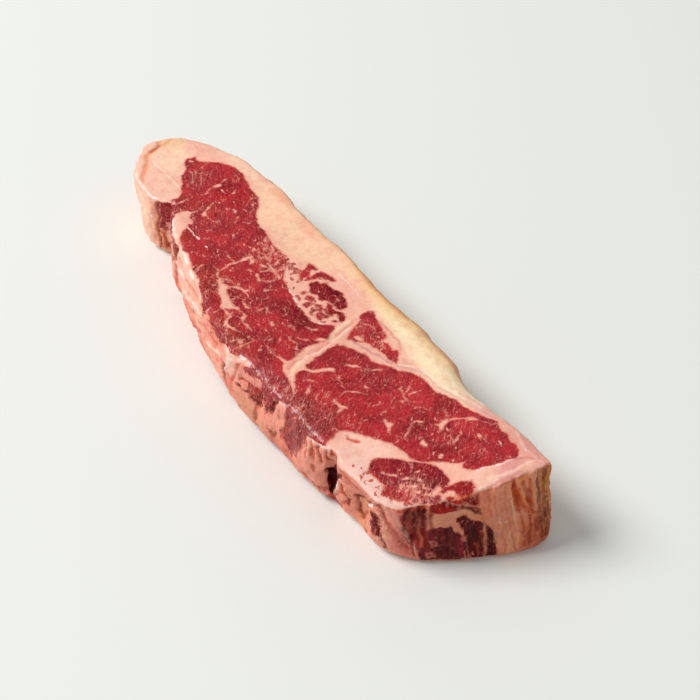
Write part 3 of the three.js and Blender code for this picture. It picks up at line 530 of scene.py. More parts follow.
# The squared end: Y across the slice, then height. It faces away from the light
END_SHADES = [
    ((-34, 20), (6, 30), (244, 140, 136), 0.9), ((-6.5, 31), (5, 10), (230, 130, 98), 1.0),
    ((0, 20), (5, 26), (238, 148, 114), 1.0), ((1.4, 7), (3, 9), (254, 200, 170), 0.9),
    ((9, 32), (5, 9), (238, 144, 84), 0.9), ((11, 12), (7, 14), (222, 126, 82), 1.0),
    ((20, 22), (5, 30), (198, 108, 58), 1.0), ((12, 4), (6, 5), (204, 110, 74), 0.8),
]
END_LEAN = [
    ([(-34, 34), (-28, 33.6), (-26, 30), (-27, 22), (-28, 12), (-33, 9), (-35, 20)], (88, 3, 4)),
    ([(-25.4, 33.6), (-21, 34.2), (-16, 31.4), (-16.5, 29), (-21, 28.6), (-25.6, 28.8)], (164, 10, 12)),
    ([(-27, 36.4), (-12, 38), (-10, 35), (-16, 33), (-26, 33.4)], (206, 44, 34)),
    ([(-14, 36), (-9, 36.6), (-8.6, 31), (-12, 31.6)], (132, 14, 14)),
    ([(-28, 18.6), (-24, 21), (-19.6, 21), (-16.4, 16.6), (-14.2, 12), (-14, 4), (-14, -3), (-30, -3),
      (-31, 10)], (112, 26, 32)),
    ([(-17.2, 25.4), (-13.6, 26.4), (-12, 23.4), (-9.4, 21.8), (-6, 20.8), (-5.2, 17.6), (-2.8, 14.2),
      (-3.5, 8), (-2.6, -3), (-12.2, -3), (-13.4, 5.6), (-13.8, 11), (-15.2, 17.6)], (96, 2, 3)),
    ([(-31.5, 20), (-27.6, 18), (-28, 9), (-31.5, 8)], (130, 24, 20)),
]
END_FAT = [
    ([(-27, 13.2), (-24.4, 13), (-23.6, 10.4), (-26, 9.6)], (236, 158, 128)),
    ([(-28.4, 6.8), (-25.6, 6), (-25, 2.8), (-28, 3)], (238, 164, 138)),
    ([(-16.4, 15), (-14, 15.4), (-13.6, 11.4), (-15.4, 12)], (224, 148, 118)),
    ([(-15.5, 6.6), (-13.2, 6.6), (-12.6, 0.5), (-15, 0.5)], (222, 140, 112)),
    ([(-24, 40), (-23.6, 35.6), (-21, 34.2), (-17.4, 34.6), (-15.4, 37), (-15.4, 40)], (252, 196, 160)),
    ([(-38, 40), (-38, 33), (-35, 31.6), (-32, 33.4), (-29.6, 31.8), (-27, 33.6), (-25, 40)],
     (250, 176, 142)),
]
END_STROKES = [
    ([(-20, 32.6), (-15, 31), (-12, 29.2), (-9.4, 27), (-7.4, 25.2)], 0.45, 0.7, (100, 12, 12), 0.95, -0.4),
    ([(-16, 29.6), (-12.6, 30.6), (-9, 29), (-8, 27)], 0.3, 0.6, (120, 20, 18), 0.9, -0.3),
    ([(-24.6, 29), (-26, 24), (-25, 19)], 0.3, 0.8, (120, 22, 20), 0.9, -0.4),
    ([(-2.2, 34), (-1.6, 20), (-0.6, 10), (-0.4, 2)], 0.15, 0.6, (200, 112, 88), 0.7, -0.2),
    ([(2.4, 36), (2.2, 20), (2.8, 12), (3.6, 3)], 0.15, 0.6, (200, 108, 82), 0.7, -0.2),
    ([(4, 30), (4.2, 22), (4.6, 14), (7, 13), (7.8, 10)], 0.15, 0.6, (192, 92, 68), 0.7, -0.2),
    ([(-4.6, 38), (-4.4, 26), (-3, 20)], 0.15, 0.6, (204, 104, 86), 0.6, -0.1),
    ([(-1.8, 19.6), (0.6, 19), (2.4, 19.4)], 0.1, 0.4, (255, 220, 196), 0.7, 0.1),
    ([(5.6, 38), (7, 32), (8.4, 25.6), (9.6, 22.6)], 0.5, 0.9, (202, 82, 36), 0.9, -0.4),
    ([(9.4, 37), (10.6, 30), (11.8, 24), (12, 21.6)], 0.35, 0.8, (176, 68, 34), 0.9, -0.4),
    ([(-8, 37.4), (-2, 38.4), (4, 39.4), (10, 40)], 0.3, 1.2, (228, 118, 66), 0.8, -0.2),
    ([(-38, 31.4), (-35, 30.4), (-32, 32), (-29.6, 30.6), (-27, 32)], 0.5, 0.8, (206, 66, 34), 0.9, -0.2),
    ([(-23, 36.4), (-20.6, 37.4), (-17.6, 37)], 0.6, 0.7, (206, 60, 34), 0.9, 0.4),
    ([(-37, 27), (-34, 18), (-31, 8)], 0.3, 0.7, (246, 184, 164), 0.8, 0.2),
    ([(-35.4, 28), (-32.6, 18), (-29.6, 7)], 0.2, 0.6, (190, 66, 66), 0.8, -0.3),
    ([(-38.6, 24), (-36, 15), (-33, 6)], 0.3, 0.7, (198, 78, 72), 0.8, -0.3),
]
END_SPECKLES = [((-24, 35), (14, 5), 1.0), ((12, 4), (7, 5), 0.7), ((-32, 16), (5, 18), 0.9)]
# Lowest and highest Y, top, bottom, colour and number of the streaks
END_STREAKS = [
    (5, 13, 40, 22, (192, 74, 32), 18), (14.6, 21.5, 41, 4, (116, 46, 18), 34),
    (7, 16, 22, 2, (176, 80, 48), 18), (13, 21, 40, 8, (234, 152, 90), 9),
    (-35, -27, 34, 3, (120, 10, 10), 12), (-34, -27, 33, 4, (206, 96, 74), 7),
    (-28, -14, 20, 0, (158, 36, 38), 14), (-28, -14, 20, 0, (84, 4, 8), 14),
    (-15, -4.6, 21, 0, (60, 2, 4), 12), (-12, -4.6, 19, 0, (190, 78, 60), 5),
    (-24, -10, 38, 31, (236, 140, 112), 7), (-26, -8, 38, 30, (150, 12, 14), 12),
    (-9, 5, 38, 1, (222, 140, 106), 7), (-6, 6, 38, 1, (255, 204, 172), 3),
]


# Distances, all in millimetres
def near(points, line):
    """Which points lie within FAR of the line's box."""
    low = np.min(line, axis=0) - FAR
    high = np.max(line, axis=0) + FAR
    return np.nonzero(np.all((points > low) & (points < high), axis=1))[0]


def line_distance(points, line, widths):
    """Distance from each point to the line, less the line's half-width there."""
    line = np.asarray(line, float)
    best = np.full(len(points), np.inf)
    for start, end, wide_start, wide_end in zip(line[:-1], line[1:], widths[:-1], widths[1:]):
        along = end - start
        share = np.clip((points - start) @ along / max(along @ along, 1e-9), 0, 1)
        gap = np.linalg.norm(points - start - share[:, None] * along, axis=1)
        best = np.minimum(best, gap - (wide_start + (wide_end - wide_start) * share))
    return best


def line_depth(points, line, widths):
    """How deep each point lies within a line of the given half-widths, cut off at FAR."""
    depth = np.full(len(points), -FAR)
    chosen = near(points, line)
    depth[chosen] = np.clip(-line_distance(points[chosen], line, widths), -FAR, FAR)
    return depth


def outline_depth(points, outline):
    """Distance to the closed outline, positive inside it, cut off at FAR."""
    depth = np.full(len(points), -FAR)
    chosen = near(points, outline)
    here = points[chosen]
    closed = np.array([*outline, outline[0]], float)
    inside = np.zeros(len(here), bool)
    for start, end in zip(closed[:-1], closed[1:]):
        if start[1] != end[1]:
            crosses = (start[1] > here[:, 1]) != (end[1] > here[:, 1])
            at = start[0] + (here[:, 1] - start[1]) * (end[0] - start[0]) / (end[1] - start[1])
            inside ^= crosses & (here[:, 0] < at)
    gap = line_distance(here, closed, [0] * len(closed))
    depth[chosen] = np.clip(np.where(inside, gap, -gap), -FAR, FAR)
    return depth


def ramp(value, start, end):
    """0 before start and 1 after end, with a smooth turn between them."""
    share = np.clip((value - start) / (end - start), 0, 1)
    return share * share * (3 - 2 * share)


def wobble(points, size, seed):
    """Smooth noise from about -1 to 1 at each point, with waves of the given size."""
    offset = Vector(seed * SEED_STEP)
    return np.array([noise.fractal(Vector(point) / size + offset, 1.0, 2.0, 3) for point in points])


def paint(colours, weight, colour):
    """Paints the colour over the colours, by weight."""
    colours += weight[:, None] * (linear(colour) - colours)


def scattered(points, ovals, density):
    """The density, raised inside each soft oval."""
    for centre, radii, most in ovals:
        off = np.linalg.norm((points - centre) / np.array(radii), axis=1)
        density = np.maximum(density, most * (1 - ramp(off, 0.5, 1.2)))
    return density


class Surface:
    """What the material and the relief need at each vertex. Depth, in mm, is positive in fat."""

    def __init__(self, count, fat=FAT_PINK, lean=LEAN):
        self.depth = np.full(count, FAR)
        self.lean = np.tile(linear(lean), (count, 1))
        self.fat = np.tile(linear(fat), (count, 1))
        self.glint = np.full(count, -FAR)
        self.marbling = np.zeros(count)
        self.speckle = np.zeros(count)
        self.fibres = np.zeros(count)
        self.relief = np.zeros(count)

    def paint_cleft_shade(self, weight):
        """Painted shade deep in a cleft, by weight: dark red-brown, over clean meat without marbling."""
        paint(self.fat, weight, CLEFT_SHADE_FAT)
        paint(self.lean, weight, CLEFT_SHADE_LEAN)
        self.depth -= weight * (self.depth + FAR)
        for pattern in (self.marbling, self.speckle, self.fibres):
            pattern *= 1 - weight

    def shade(self, points, shades, colours):
        for centre, radii, colour, strength in shades:
            off = np.linalg.norm((points - centre) / radii, axis=1)
            paint(colours, strength * (1 - ramp(off, 0.55, 1.35)), colour)

    def add_lean(self, depth, colour):
        self.depth = np.minimum(self.depth, -depth)
        paint(self.lean, ramp(depth, -1.0, 0.3), colour)

    def add_fat(self, depth, colour):
        self.depth = np.maximum(self.depth, depth)
        paint(self.fat, ramp(depth, -1.0, 0.3), colour)

    def stroke(self, points, strokes):
        for line, half_width, softness, colour, strength, relief in strokes:
            depth = line_depth(points, line, [half_width] * len(line))
            weight = ramp(depth, -softness, 0)
            paint(self.fat, strength * weight, colour)
            paint(self.lean, strength * weight, colour)
            self.relief += relief * weight


# The sides of the slice, one function each
def cut_face(points, thinning):
    """A cut face. Points are seen from above; the veins are thinner by the given widths."""
    face = Surface(len(points))
    face.shade(points, UPPER_FAT_SHADES, face.fat)
    for muscle in (FAR_MUSCLE, NEAR_MUSCLE, TRIANGLE_MUSCLE):
        face.add_lean(outline_depth(points, muscle), LEAN)
    face.add_lean(outline_depth(points, SMALL_MUSCLE), LEAN_CRIMSON)
    for name, outline in ISLANDS.items():
        face.add_lean(outline_depth(points, outline), ISLAND_COLOURS.get(name, LEAN))
    face.shade(points, UPPER_LEAN_SHADES, face.lean)
    for outline in FAT_PATCHES.values():
        face.add_fat(outline_depth(points, outline) - 0.8 * thinning, FAT_PINK)
    for line, widths in VEINS:
        face.add_fat(line_depth(points, line, widths) - thinning, FAT_PINK)
    for line, half_width in GLINTS:
        face.glint = np.maximum(face.glint, line_depth(points, line, [half_width] * len(line)))
    face.stroke(points, UPPER_STROKES)
    face.marbling[:] = 0.15
    face.marbling = scattered(points, MARBLING, face.marbling)
    face.speckle = scattered(points, SPECKLES, face.speckle)
    face.fibres = scattered(points, FIBRES, face.fibres)
    return face


def long_side(points):
    """The long side without the rind, and the tip's own side. Points are X and height."""
    side = Surface(len(points), FAT_SALMON)
    side.shade(points, SIDE_SHADES, side.fat)
    for outline, colour in SIDE_LEAN:
        side.add_lean(outline_depth(points, outline), colour)
    side.fat *= SIDE_WARMTH
    side.stroke(points, SIDE_STROKES)
    side.marbling[:] = 0.5
    side.fibres[:] = 0.7
    side.speckle[:] = 0.25
    side.speckle = scattered(points, SIDE_SPECKLES, side.speckle)
    return side


def squared_end(points):
    """The squared end. Points are Y and height."""
    end = Surface(len(points), FAT_TAN)
    end.shade(points, END_SHADES, end.fat)
    for outline, colour in END_LEAN:
        end.add_lean(outline_depth(points, outline), colour)
    for outline, colour in END_FAT:
        end.add_fat(outline_depth(points, outline), colour)
    end.stroke(points, END_STROKES + end_streaks())
    end.marbling[:] = 0.1
    end.fibres[:] = 0.25
    end.speckle = scattered(points, END_SPECKLES, end.speckle)
    return end


def end_streaks():
    """Dried streaks and ridges that run down the squared end, by a seeded rule."""
    pick = np.random.default_rng(STREAK_SEED)
    streaks = []
    for low, high, top, bottom, colour, count in END_STREAKS:
        middle = (top + bottom) / 2
        for _ in range(count):
            y = pick.uniform(low, high)
            upper = pick.uniform(middle, top)
            lower = pick.uniform(bottom, middle)
            bend = pick.uniform(-0.8, 0.8)
            slant = pick.uniform(-1, 1)
            line = [(y, upper), (y + bend, (upper + lower) / 2), (y + slant, lower)]
            half_width = pick.uniform(0.0, 0.2)
            strength = pick.uniform(0.4, 0.95)
            streaks.append((line, half_width, STREAK_SOFTNESS, colour, strength, STREAK_RELIEF))
    return streaks


def rind_side(points):
    """The side with the rind: cream fat with a dry, browned skin. Points are in space."""
    rind = Surface(len(points), RIND_SKIN)
    browned = ramp(wobble(points, size=22, seed=3) + 0.5 * wobble(points, size=6, seed=4), 0.1, 0.7)
    paint(rind.fat, 0.45 * browned, RIND_BROWNED)
    rosy = ramp(wobble(points * (0.4, 0.4, 1), size=9, seed=6), 0.1, 0.6)
    paint(rind.fat, 0.35 * rosy, RIND_ROSY)
    creased = ramp(np.abs(wobble(points * (0.35, 0.35, 1), size=7, seed=16)), 0.06, 0.0)
    paint(rind.fat, 0.35 * creased, RIND_CREASED)
    rind.relief -= 0.3 * creased
    paint(rind.fat, 0.35 * ramp(points[:, 2], 28, 36), FAT_BROWN)
    return rind


# The mesh
def evaluated(obj):
    """A copy of the object's mesh with its modifiers applied."""
    graph = bpy.context.evaluated_depsgraph_get()
    return bpy.data.meshes.new_from_object(obj.evaluated_get(graph))


def faces_the_camera(face):
    """Whether the photo shows the face: the upper side, the long side without rind, the squared end."""
    x, y, z = face.normal
    in_end = x > 0.5 and face.calc_center_median().x > END_START * MM
    return z > 0.35 or (z > -0.5 and (y < -0.15 or in_end))


def refined(node, name):
    """A new object with the node's surface in small even cells, halved where the photo shows it."""
    piece = bpy.data.objects.new(name, node.data.copy())
    bpy.context.scene.collection.objects.link(piece)
    piece.data.materials.clear()
    cells = piece.modifiers.new("cells", "REMESH")
    cells.mode = "VOXEL"
    cells.voxel_size = CELL * MM
    smooth = piece.modifiers.new("smooth", "SMOOTH")
    smooth.iterations = SMOOTHING_ROUNDS
    mesh = evaluated(piece)
    piece.modifiers.clear()
    fine = bmesh.new()
    fine.from_mesh(mesh)
    fine.normal_update()
    edges = {edge for face in fine.faces if faces_the_camera(face) for edge in face.edges}
    bmesh.ops.subdivide_edges(fine, edges=list(edges), cuts=1, use_grid_fill=True)
    bmesh.ops.triangulate(fine, faces=[face for face in fine.faces if len(face.verts) > 4])
    fine.to_mesh(mesh)
    fine.free()
    piece.data = mesh
    return piece


def vertex_array(mesh, what):
    values = np.empty(len(mesh.vertices) * 3, np.float32)
    mesh.vertices.foreach_get(what, values)
    return values.reshape(-1, 3).astype(float)


def store(mesh, name, values, kind="FLOAT"):
    """Puts one value, vector or colour per vertex into the mesh under a name that the material reads."""
    layer = mesh.attributes.new(name, kind, "POINT")
    if kind == "FLOAT_COLOR":
        values = np.hstack([values, np.ones((len(values), 1))])
    key = {"FLOAT": "value", "FLOAT_VECTOR": "vector", "FLOAT_COLOR": "color"}[kind]
    layer.data.foreach_set(key, np.ascontiguousarray(values, np.float32).ravel())


class Places:
    """Where the vertices lie, in mm, and how far each belongs to each side, from 0 to 1."""

    def __init__(self, mesh):
        self.place = vertex_array(mesh, "co") / MM
        self.normal = vertex_array(mesh, "normal")
        self.seen = self.place[:, :2] + MIDDLE
        self.x, self.y = self.seen.T
        self.height = self.place[:, 2]
        self.facing_up = self.normal[:, 2]
        self.upper = ramp(self.facing_up, *TURN) * (self.height > UPPER_FACE_FOOT)
        self.lower = ramp(-self.facing_up, *TURN) * (self.height < LOWER_FACE_TOP)
        self.wall = 1 - self.upper - self.lower
        self.end = ramp(self.normal[:, 0], *TURN) * (self.x > END_START)
        self.rind = ramp(self.normal[:, 1], 0.0, 0.45) * (1 - self.end)
        self.past_lump = ramp(self.x, 74, 80)


def joined(parts):
    """One surface out of several, each with its weight at each vertex."""
    whole = Surface(len(parts[0][0]))
    total = sum(weight for weight, _ in parts)
    for name in list(vars(whole)):
        setattr(whole, name, sum((getattr(part, name).T * (weight / total)).T for weight, part in parts))
    return whole


def patterned(at):
    """The pattern of all five sides. Each side but the rind is tugged a little, so that no edge is smooth.
    """
    drift = np.column_stack([wobble(at.place, size=24, seed=1), wobble(at.place, size=24, seed=2)]) * 4
    tug = np.column_stack([wobble(at.place, size=3.6, seed=11), wobble(at.place, size=3.6, seed=12)])
    thinning = 0.15 + 0.8 * wobble(at.place, size=4.5, seed=13)
    return joined([
        (at.upper, cut_face(at.seen + 0.7 * tug, thinning)),
        (at.lower, cut_face(at.seen + drift + 0.7 * tug, thinning)),
        (at.wall * (1 - at.end) * (1 - at.rind), long_side(np.column_stack([at.x, at.height]) + 1.2 * tug)),
        (at.wall * at.end, squared_end(np.column_stack([at.y, at.height]) + 0.5 * tug)),
        (at.wall * at.rind, rind_side(at.place)),
    ])


def add_lumps(surface, at):
    """Lumps of the walls, slow swells of the upper face and scallops under the squared end's rim."""
    lumps = 0.8 * wobble(at.place * (1, 1, 0.6), size=10, seed=7) + 0.45 * wobble(at.place, size=3.4, seed=8)
    swell = 0.3 * wobble(at.place, size=15, seed=9) + 0.1 * wobble(at.place, size=3, seed=10)
    scallops = 1.1 * wobble(at.place * (1, 1, 0.4), size=4.5, seed=18) * ramp(at.height, 26, 36)
    surface.relief += at.wall * lumps * (1 - 0.6 * at.rind) + at.upper * swell + at.end * scallops


def add_rim_highlight(surface, at):
    """A painted highlight, a pale sheen on the rounded rim between the upper face and the long side."""
    rim = ramp(at.facing_up, 0.3, 0.6) * (1 - ramp(at.facing_up, 0.8, 0.97))
    rim *= (1 - at.end) * (1 - at.rind) * (1 - 0.65 * at.past_lump)
    # Painted highlight along the rim, broken by noise
    paint(surface.fat, 0.75 * rim * ramp(wobble(at.place, size=6, seed=15), -0.3, 0.3), RIM_HIGHLIGHT)


def add_dried_edge(surface, at):
    """Ochre and brown that fade inwards from the rind's outer edge, strongest by the slice's middle."""
    inset = rind_inset(at.x, at.y)
    along = ramp(at.x, -60, 40) * (1 - ramp(at.x, 62, 90))
    on_top = ramp(at.height, 24, 30)
    ochre_reach = 5 + 9 * along * ramp(at.x, 95, 60)
    ochre = on_top * (0.1 + 0.65 * along) * (1 - ramp(inset, 1 + along, ochre_reach))
    paint(surface.fat, ochre, DRIED_OCHRE)
    brown = on_top * (0.6 + 0.3 * along) * (1 - ramp(inset, 1 + along, 3 + 3 * along))
    paint(surface.fat, brown, DRIED_BROWN)


def add_shadows(surface, at):
    """The squared end grows darker towards its foot, and the cleft is dark inside."""
    shaded = at.end * ramp(at.height, 36, 2)
    surface.fat *= 1 - shaded[:, None] * END_SHADOW
    into_wall = at.y - 4 * ramp(at.height, 16, 30)
    in_cleft = at.wall * (1 - at.rind) * ramp(into_wall, -41.4, -38.6)
    # Painted shade inside the cleft
    surface.paint_cleft_shade(in_cleft * ramp(np.abs(at.x - CLEFT_MIDDLE), 8.4, 6))


def rind_inset(x, y):
    """How far each place lies in from the outer edge of the rind, in mm."""
    spacing = 2.0
    column = ((x - x.min()) / spacing).astype(int)
    edge = np.full(column.max() + 1, -np.inf)
    np.maximum.at(edge, column, y)
    centres = x.min() + (np.arange(len(edge)) + 0.5) * spacing
    return np.interp(x, centres, edge) - y


def grain(at):
    """Places in mm, turned so that the first number runs with the meat's fibres."""
    turn = np.radians(np.where(at.x < SEAM_AT, FAR_GRAIN, NEAR_GRAIN))
    along = at.x * np.cos(turn) + at.y * np.sin(turn)
    across = at.y * np.cos(turn) - at.x * np.sin(turn)
    on_face = np.column_stack([along, across, at.height])
    upright = np.column_stack([at.height, at.x, at.y])
    level = np.column_stack([at.x + at.height, at.height - 0.25 * at.x, at.y])
    under_block = (at.x > 80) & (at.x < 110) & (at.height > 24)
    lies = (at.y < 0) & ((at.x < 12) | under_block)
    on_wall = np.where(lies[:, None], level, upright)
    return np.where(at.wall[:, None] > 0.5, on_wall, on_face)


def strands(at):
    """How far fibres stand out of the walls: least on the rind, the squared end, the tip and the lump."""
    at_tip = ramp(at.x, TIP_START, TIP_START - 4)
    on_lump = ramp(np.abs(at.x - LUMP_AT), 14, 8) * ramp(at.height, 30, 22)
    calm = (1 - 0.9 * at.rind) * (1 - 0.9 * at.end) * (1 - 0.85 * at_tip) * (1 - 0.8 * on_lump)
    return 0.34 * at.wall * calm * (1 - 0.5 * ramp(at.x, 10, -30))


def wetness(at):
    """How wet the rounded rims are."""
    rims = ramp(at.facing_up, 0.1, 0.5) * (1 - ramp(at.facing_up, 0.9, 1.0))
    return rims * (1 - 0.7 * at.rind) * (1 - 0.6 * at.past_lump)


def dress(mesh):
    """Works out the pattern on the whole surface, moves the vertices by its relief and stores it."""
    at = Places(mesh)
    surface = patterned(at)
    for add in (add_lumps, add_rim_highlight, add_dried_edge, add_shadows):
        add(surface, at)
    surface.relief *= ramp(at.height, 0, 2.5)
    moved = at.place + at.normal * surface.relief[:, None]
    moved[:, 2] = np.maximum(moved[:, 2], 0)
    mesh.vertices.foreach_set("co", (moved * MM).astype(np.float32).ravel())
    mesh.update()
    store(mesh, "fat_depth", surface.depth)
    for name in ("glint", "marbling", "speckle", "fibres"):
        store(mesh, name, getattr(surface, name))
    store(mesh, "lean_colour", surface.lean, "FLOAT_COLOR")
    store(mesh, "fat_colour", surface.fat, "FLOAT_COLOR")
    store(mesh, "grain", grain(at), "FLOAT_VECTOR")
    store(mesh, "wall", at.wall)
    store(mesh, "strands", strands(at))
    store(mesh, "torn", at.wall * (1 - 0.55 * at.end))
    store(mesh, "wet", wetness(at))


class Graph:
    """A material's nodes, made by short calls that return sockets."""

    def __init__(self, name):
        self.material = bpy.data.materials.new(name)
        self.material.use_nodes = True
        self.nodes = self.material.node_tree.nodes
        self.links = self.material.node_tree.links
        self.shader = self.nodes["Principled BSDF"]

    def put(self, socket, value):
        if isinstance(value, bpy.types.NodeSocket):
            self.links.new(value, socket)
        else:
            socket.default_value = value

    def attribute(self, name, output="Fac"):
        node = self.nodes.new("ShaderNodeAttribute")
        node.attribute_name = name
        return node.outputs[output]

    def math(self, operation, first, second=0.0):
        node = self.nodes.new("ShaderNodeMath")
        node.operation = operation
        self.put(node.inputs[0], first)
        self.put(node.inputs[1], second)
        return node.outputs[0]

    def plus(self, first, second):
        return self.math("ADD", first, second)

    def times(self, first, second):
        return self.math("MULTIPLY", first, second)

    def most(self, first, second):
        return self.math("MAXIMUM", first, second)

    def rest_of(self, share):
        return self.math("SUBTRACT", 1.0, share)

    def vector_math(self, operation, first, second):
        node = self.nodes.new("ShaderNodeVectorMath")
        node.operation = operation
        self.put(node.inputs[0], first)
        self.put(node.inputs[1], second)
        return node.outputs[0]

    def noise(self, vector, size, detail=2.0, roughness=0.5, output="Fac"):
        """Noise around 0.5 with waves of the given size in mm."""
        node = self.nodes.new("ShaderNodeTexNoise")
        self.put(node.inputs["Vector"], vector)
        node.inputs["Scale"].default_value = 1 / size
        node.inputs["Detail"].default_value = detail
        node.inputs["Roughness"].default_value = roughness
        return node.outputs[output]

    def streaks(self, stretch, size, detail, roughness=0.5):
        """Noise drawn out along the fibres. The smaller the stretch, the longer its streaks."""
        fibres = self.attribute("grain", "Vector")
        return self.noise(self.vector_math("MULTIPLY", fibres, (stretch, 1.0, 1.0)), size, detail, roughness)

    def cells(self, vector, size):
        """Distance from the nearest border of irregular cells of the given size in mm."""
        node = self.nodes.new("ShaderNodeTexVoronoi")
        node.feature = "DISTANCE_TO_EDGE"
        self.put(node.inputs["Vector"], vector)
        node.inputs["Scale"].default_value = 1 / size
        return node.outputs["Distance"]

    def fade(self, value, low, high, to_low=0.0, to_high=1.0):
        node = self.nodes.new("ShaderNodeMapRange")
        node.interpolation_type = "SMOOTHSTEP"
        self.put(node.inputs["Value"], value)
        self.put(node.inputs["From Min"], low)
        self.put(node.inputs["From Max"], high)
        node.inputs["To Min"].default_value = to_low
        node.inputs["To Max"].default_value = to_high
        return node.outputs["Result"]

    def mix(self, factor, first, second, blend="MIX"):
        node = self.nodes.new("ShaderNodeMix")
        node.data_type = "RGBA"
        node.blend_type = blend
        self.put(node.inputs[0], factor)
        self.put(node.inputs[6], first)
        is_socket = isinstance(second, bpy.types.NodeSocket)
        self.put(node.inputs[7], second if is_socket else (*linear(second), 1))
        return node.outputs[2]

    def dimmed(self, colour, value):
        """The colour times a number socket."""
        return self.mix(1.0, colour, value, "MULTIPLY")

    def centred(self, noise_socket, strength):
        """Noise around 0 instead of 0.5, times the strength."""
        return self.times(self.math("SUBTRACT", noise_socket, 0.5), strength)

    def flecks(self, noise_socket, density, rarest, span, softness):
        """Small spots where the noise is above a start that falls as the density rises."""
        start = self.math("SUBTRACT", rarest, self.times(density, span))
        return self.fade(noise_socket, start, self.plus(start, softness))


def fat_share(graph, place, depth):
    """1 in fat and 0 in lean, with bits of lean meat scattered in the fat."""
    spots = graph.noise(place, size=2.4, detail=1.5)
    speckles = graph.flecks(spots, graph.attribute("speckle"), rarest=0.86, span=0.37, softness=0.1)
    return graph.times(graph.fade(depth, -0.5, 0.65), graph.rest_of(graph.times(speckles, 0.85)))


def marbled(graph, place, wall, fleck_noise):
    """How pale the lean meat is by its flecks, its hair-thin fibres and its threads of fat."""
    marbling = graph.attribute("marbling")
    flecks = graph.flecks(fleck_noise, marbling, rarest=0.65, span=0.13, softness=0.08)
    fine = graph.streaks(stretch=0.6, size=1.1, detail=2)
    fine = graph.flecks(fine, marbling, rarest=0.64, span=0.1, softness=0.09)
    hairs = graph.streaks(stretch=0.1, size=0.9, detail=3, roughness=0.6)
    hairs = graph.flecks(hairs, graph.attribute("fibres"), rarest=0.7, span=0.15, softness=0.06)
    flecks = graph.most(graph.times(flecks, 0.85), graph.times(fine, 0.28))
    flecks = graph.most(flecks, graph.times(hairs, 0.6))
    contour = graph.centred(graph.streaks(stretch=0.5, size=5.0, detail=3), 1.0)
    threads = graph.fade(graph.math("ABSOLUTE", contour), 0.0, 0.02, 1.0, 0.0)
    patches = graph.fade(graph.noise(place, size=4.5, detail=1), 0.5, 0.62, 0.0, 0.55)
    threads = graph.times(threads, patches)
    return graph.most(flecks, graph.times(threads, graph.rest_of(wall)))


def lean_colour(graph, place, wall, fibre):
    """Red meat with darker and lighter stretches, warm patches, grains and a net of bundles."""
    fibres = graph.attribute("fibres")
    lean = graph.attribute("lean_colour", "Color")
    lean = graph.dimmed(lean, graph.fade(graph.noise(place, size=8.0, detail=3), 0.32, 0.68, 0.64, 1.12))
    lean = graph.dimmed(lean, graph.fade(fibre, 0.3, 0.6, 0.72, 1.08))
    lean = graph.dimmed(lean, graph.fade(fibres, 0.4, 1.0, 1.0, 0.78))
    warm = graph.fade(graph.noise(place, size=3.5, detail=3), 0.5, 0.8, 0.0, 0.35)
    lean = graph.mix(graph.times(warm, graph.rest_of(graph.times(wall, 0.7))), lean, LEAN_WARM)
    grainy = graph.fade(graph.streaks(stretch=0.6, size=0.9, detail=2), 0.4, 0.75, 0.0, 0.32)
    lean = graph.mix(graph.times(grainy, graph.rest_of(graph.times(wall, 0.9))), lean, GRAIN_PINK)
    drawn_out = graph.vector_math("MULTIPLY", graph.attribute("grain", "Vector"), (0.55, 1.0, 1.0))
    curl = graph.noise(place, size=2.5, detail=2, output="Color")
    curl = graph.vector_math("MULTIPLY", curl, (2.4, 2.4, 2.4))
    bundles = graph.cells(graph.vector_math("ADD", drawn_out, curl), size=2.1)
    borders = graph.fade(bundles, 0.0, 0.12, 1.0, 0.0)
    net = graph.times(graph.times(borders, graph.rest_of(wall)), graph.plus(0.02, graph.times(fibres, 0.3)))
    return graph.mix(net, lean, NET_PINK)


def fat_colour(graph, place, depth):
    """Fat with rosy patches and reddish strands, pinker beside the lean meat."""
    fat = graph.attribute("fat_colour", "Color")
    rosy = graph.fade(graph.noise(place, size=5.0, detail=4, roughness=0.6), 0.42, 0.72, 0.0, 0.42)
    fat = graph.mix(rosy, fat, FAT_ROSE)
    strand = graph.fade(graph.streaks(stretch=0.12, size=1.2, detail=4, roughness=0.65), 0.5, 0.72)
    fat = graph.mix(graph.times(strand, graph.attribute("strands")), fat, STRAND_RED)
    mottled = graph.fade(graph.noise(place, size=1.6, detail=3, roughness=0.6), 0.3, 0.7, 0.96, 1.04)
    fat = graph.dimmed(fat, mottled)
    return graph.mix(graph.fade(depth, 0.2, 1.3, 0.5, 0.0), fat, EDGE_PINK)


def set_finish(graph, place):
    """Damp meat: wet patches under a thin clear coat, strongest on the rims."""
    damp = graph.noise(place, size=3.0, detail=3, roughness=0.6)
    coat = graph.plus(graph.times(graph.attribute("wet"), 0.75), 0.06)
    inputs = graph.shader.inputs
    graph.put(inputs["Roughness"], graph.fade(damp, 0.3, 0.7, 0.5, 0.36))
    graph.put(inputs["Coat Weight"], graph.times(graph.fade(damp, 0.48, 0.62), coat))
    inputs["Coat Roughness"].default_value = 0.22
    inputs["IOR"].default_value = 1.38
    inputs["Specular IOR Level"].default_value = 0.14
    inputs["Subsurface Weight"].default_value = 0.02
    inputs["Subsurface Radius"].default_value = (1.0, 0.35, 0.25)
    inputs["Subsurface Scale"].default_value = 2.0 * MM


def set_bump(graph, height):
    bump = graph.nodes.new("ShaderNodeBump")
    bump.inputs["Strength"].default_value = 0.6
    bump.inputs["Distance"].default_value = 0.4 * MM
    graph.put(bump.inputs["Height"], height)
    graph.put(graph.shader.inputs["Normal"], bump.outputs[0])


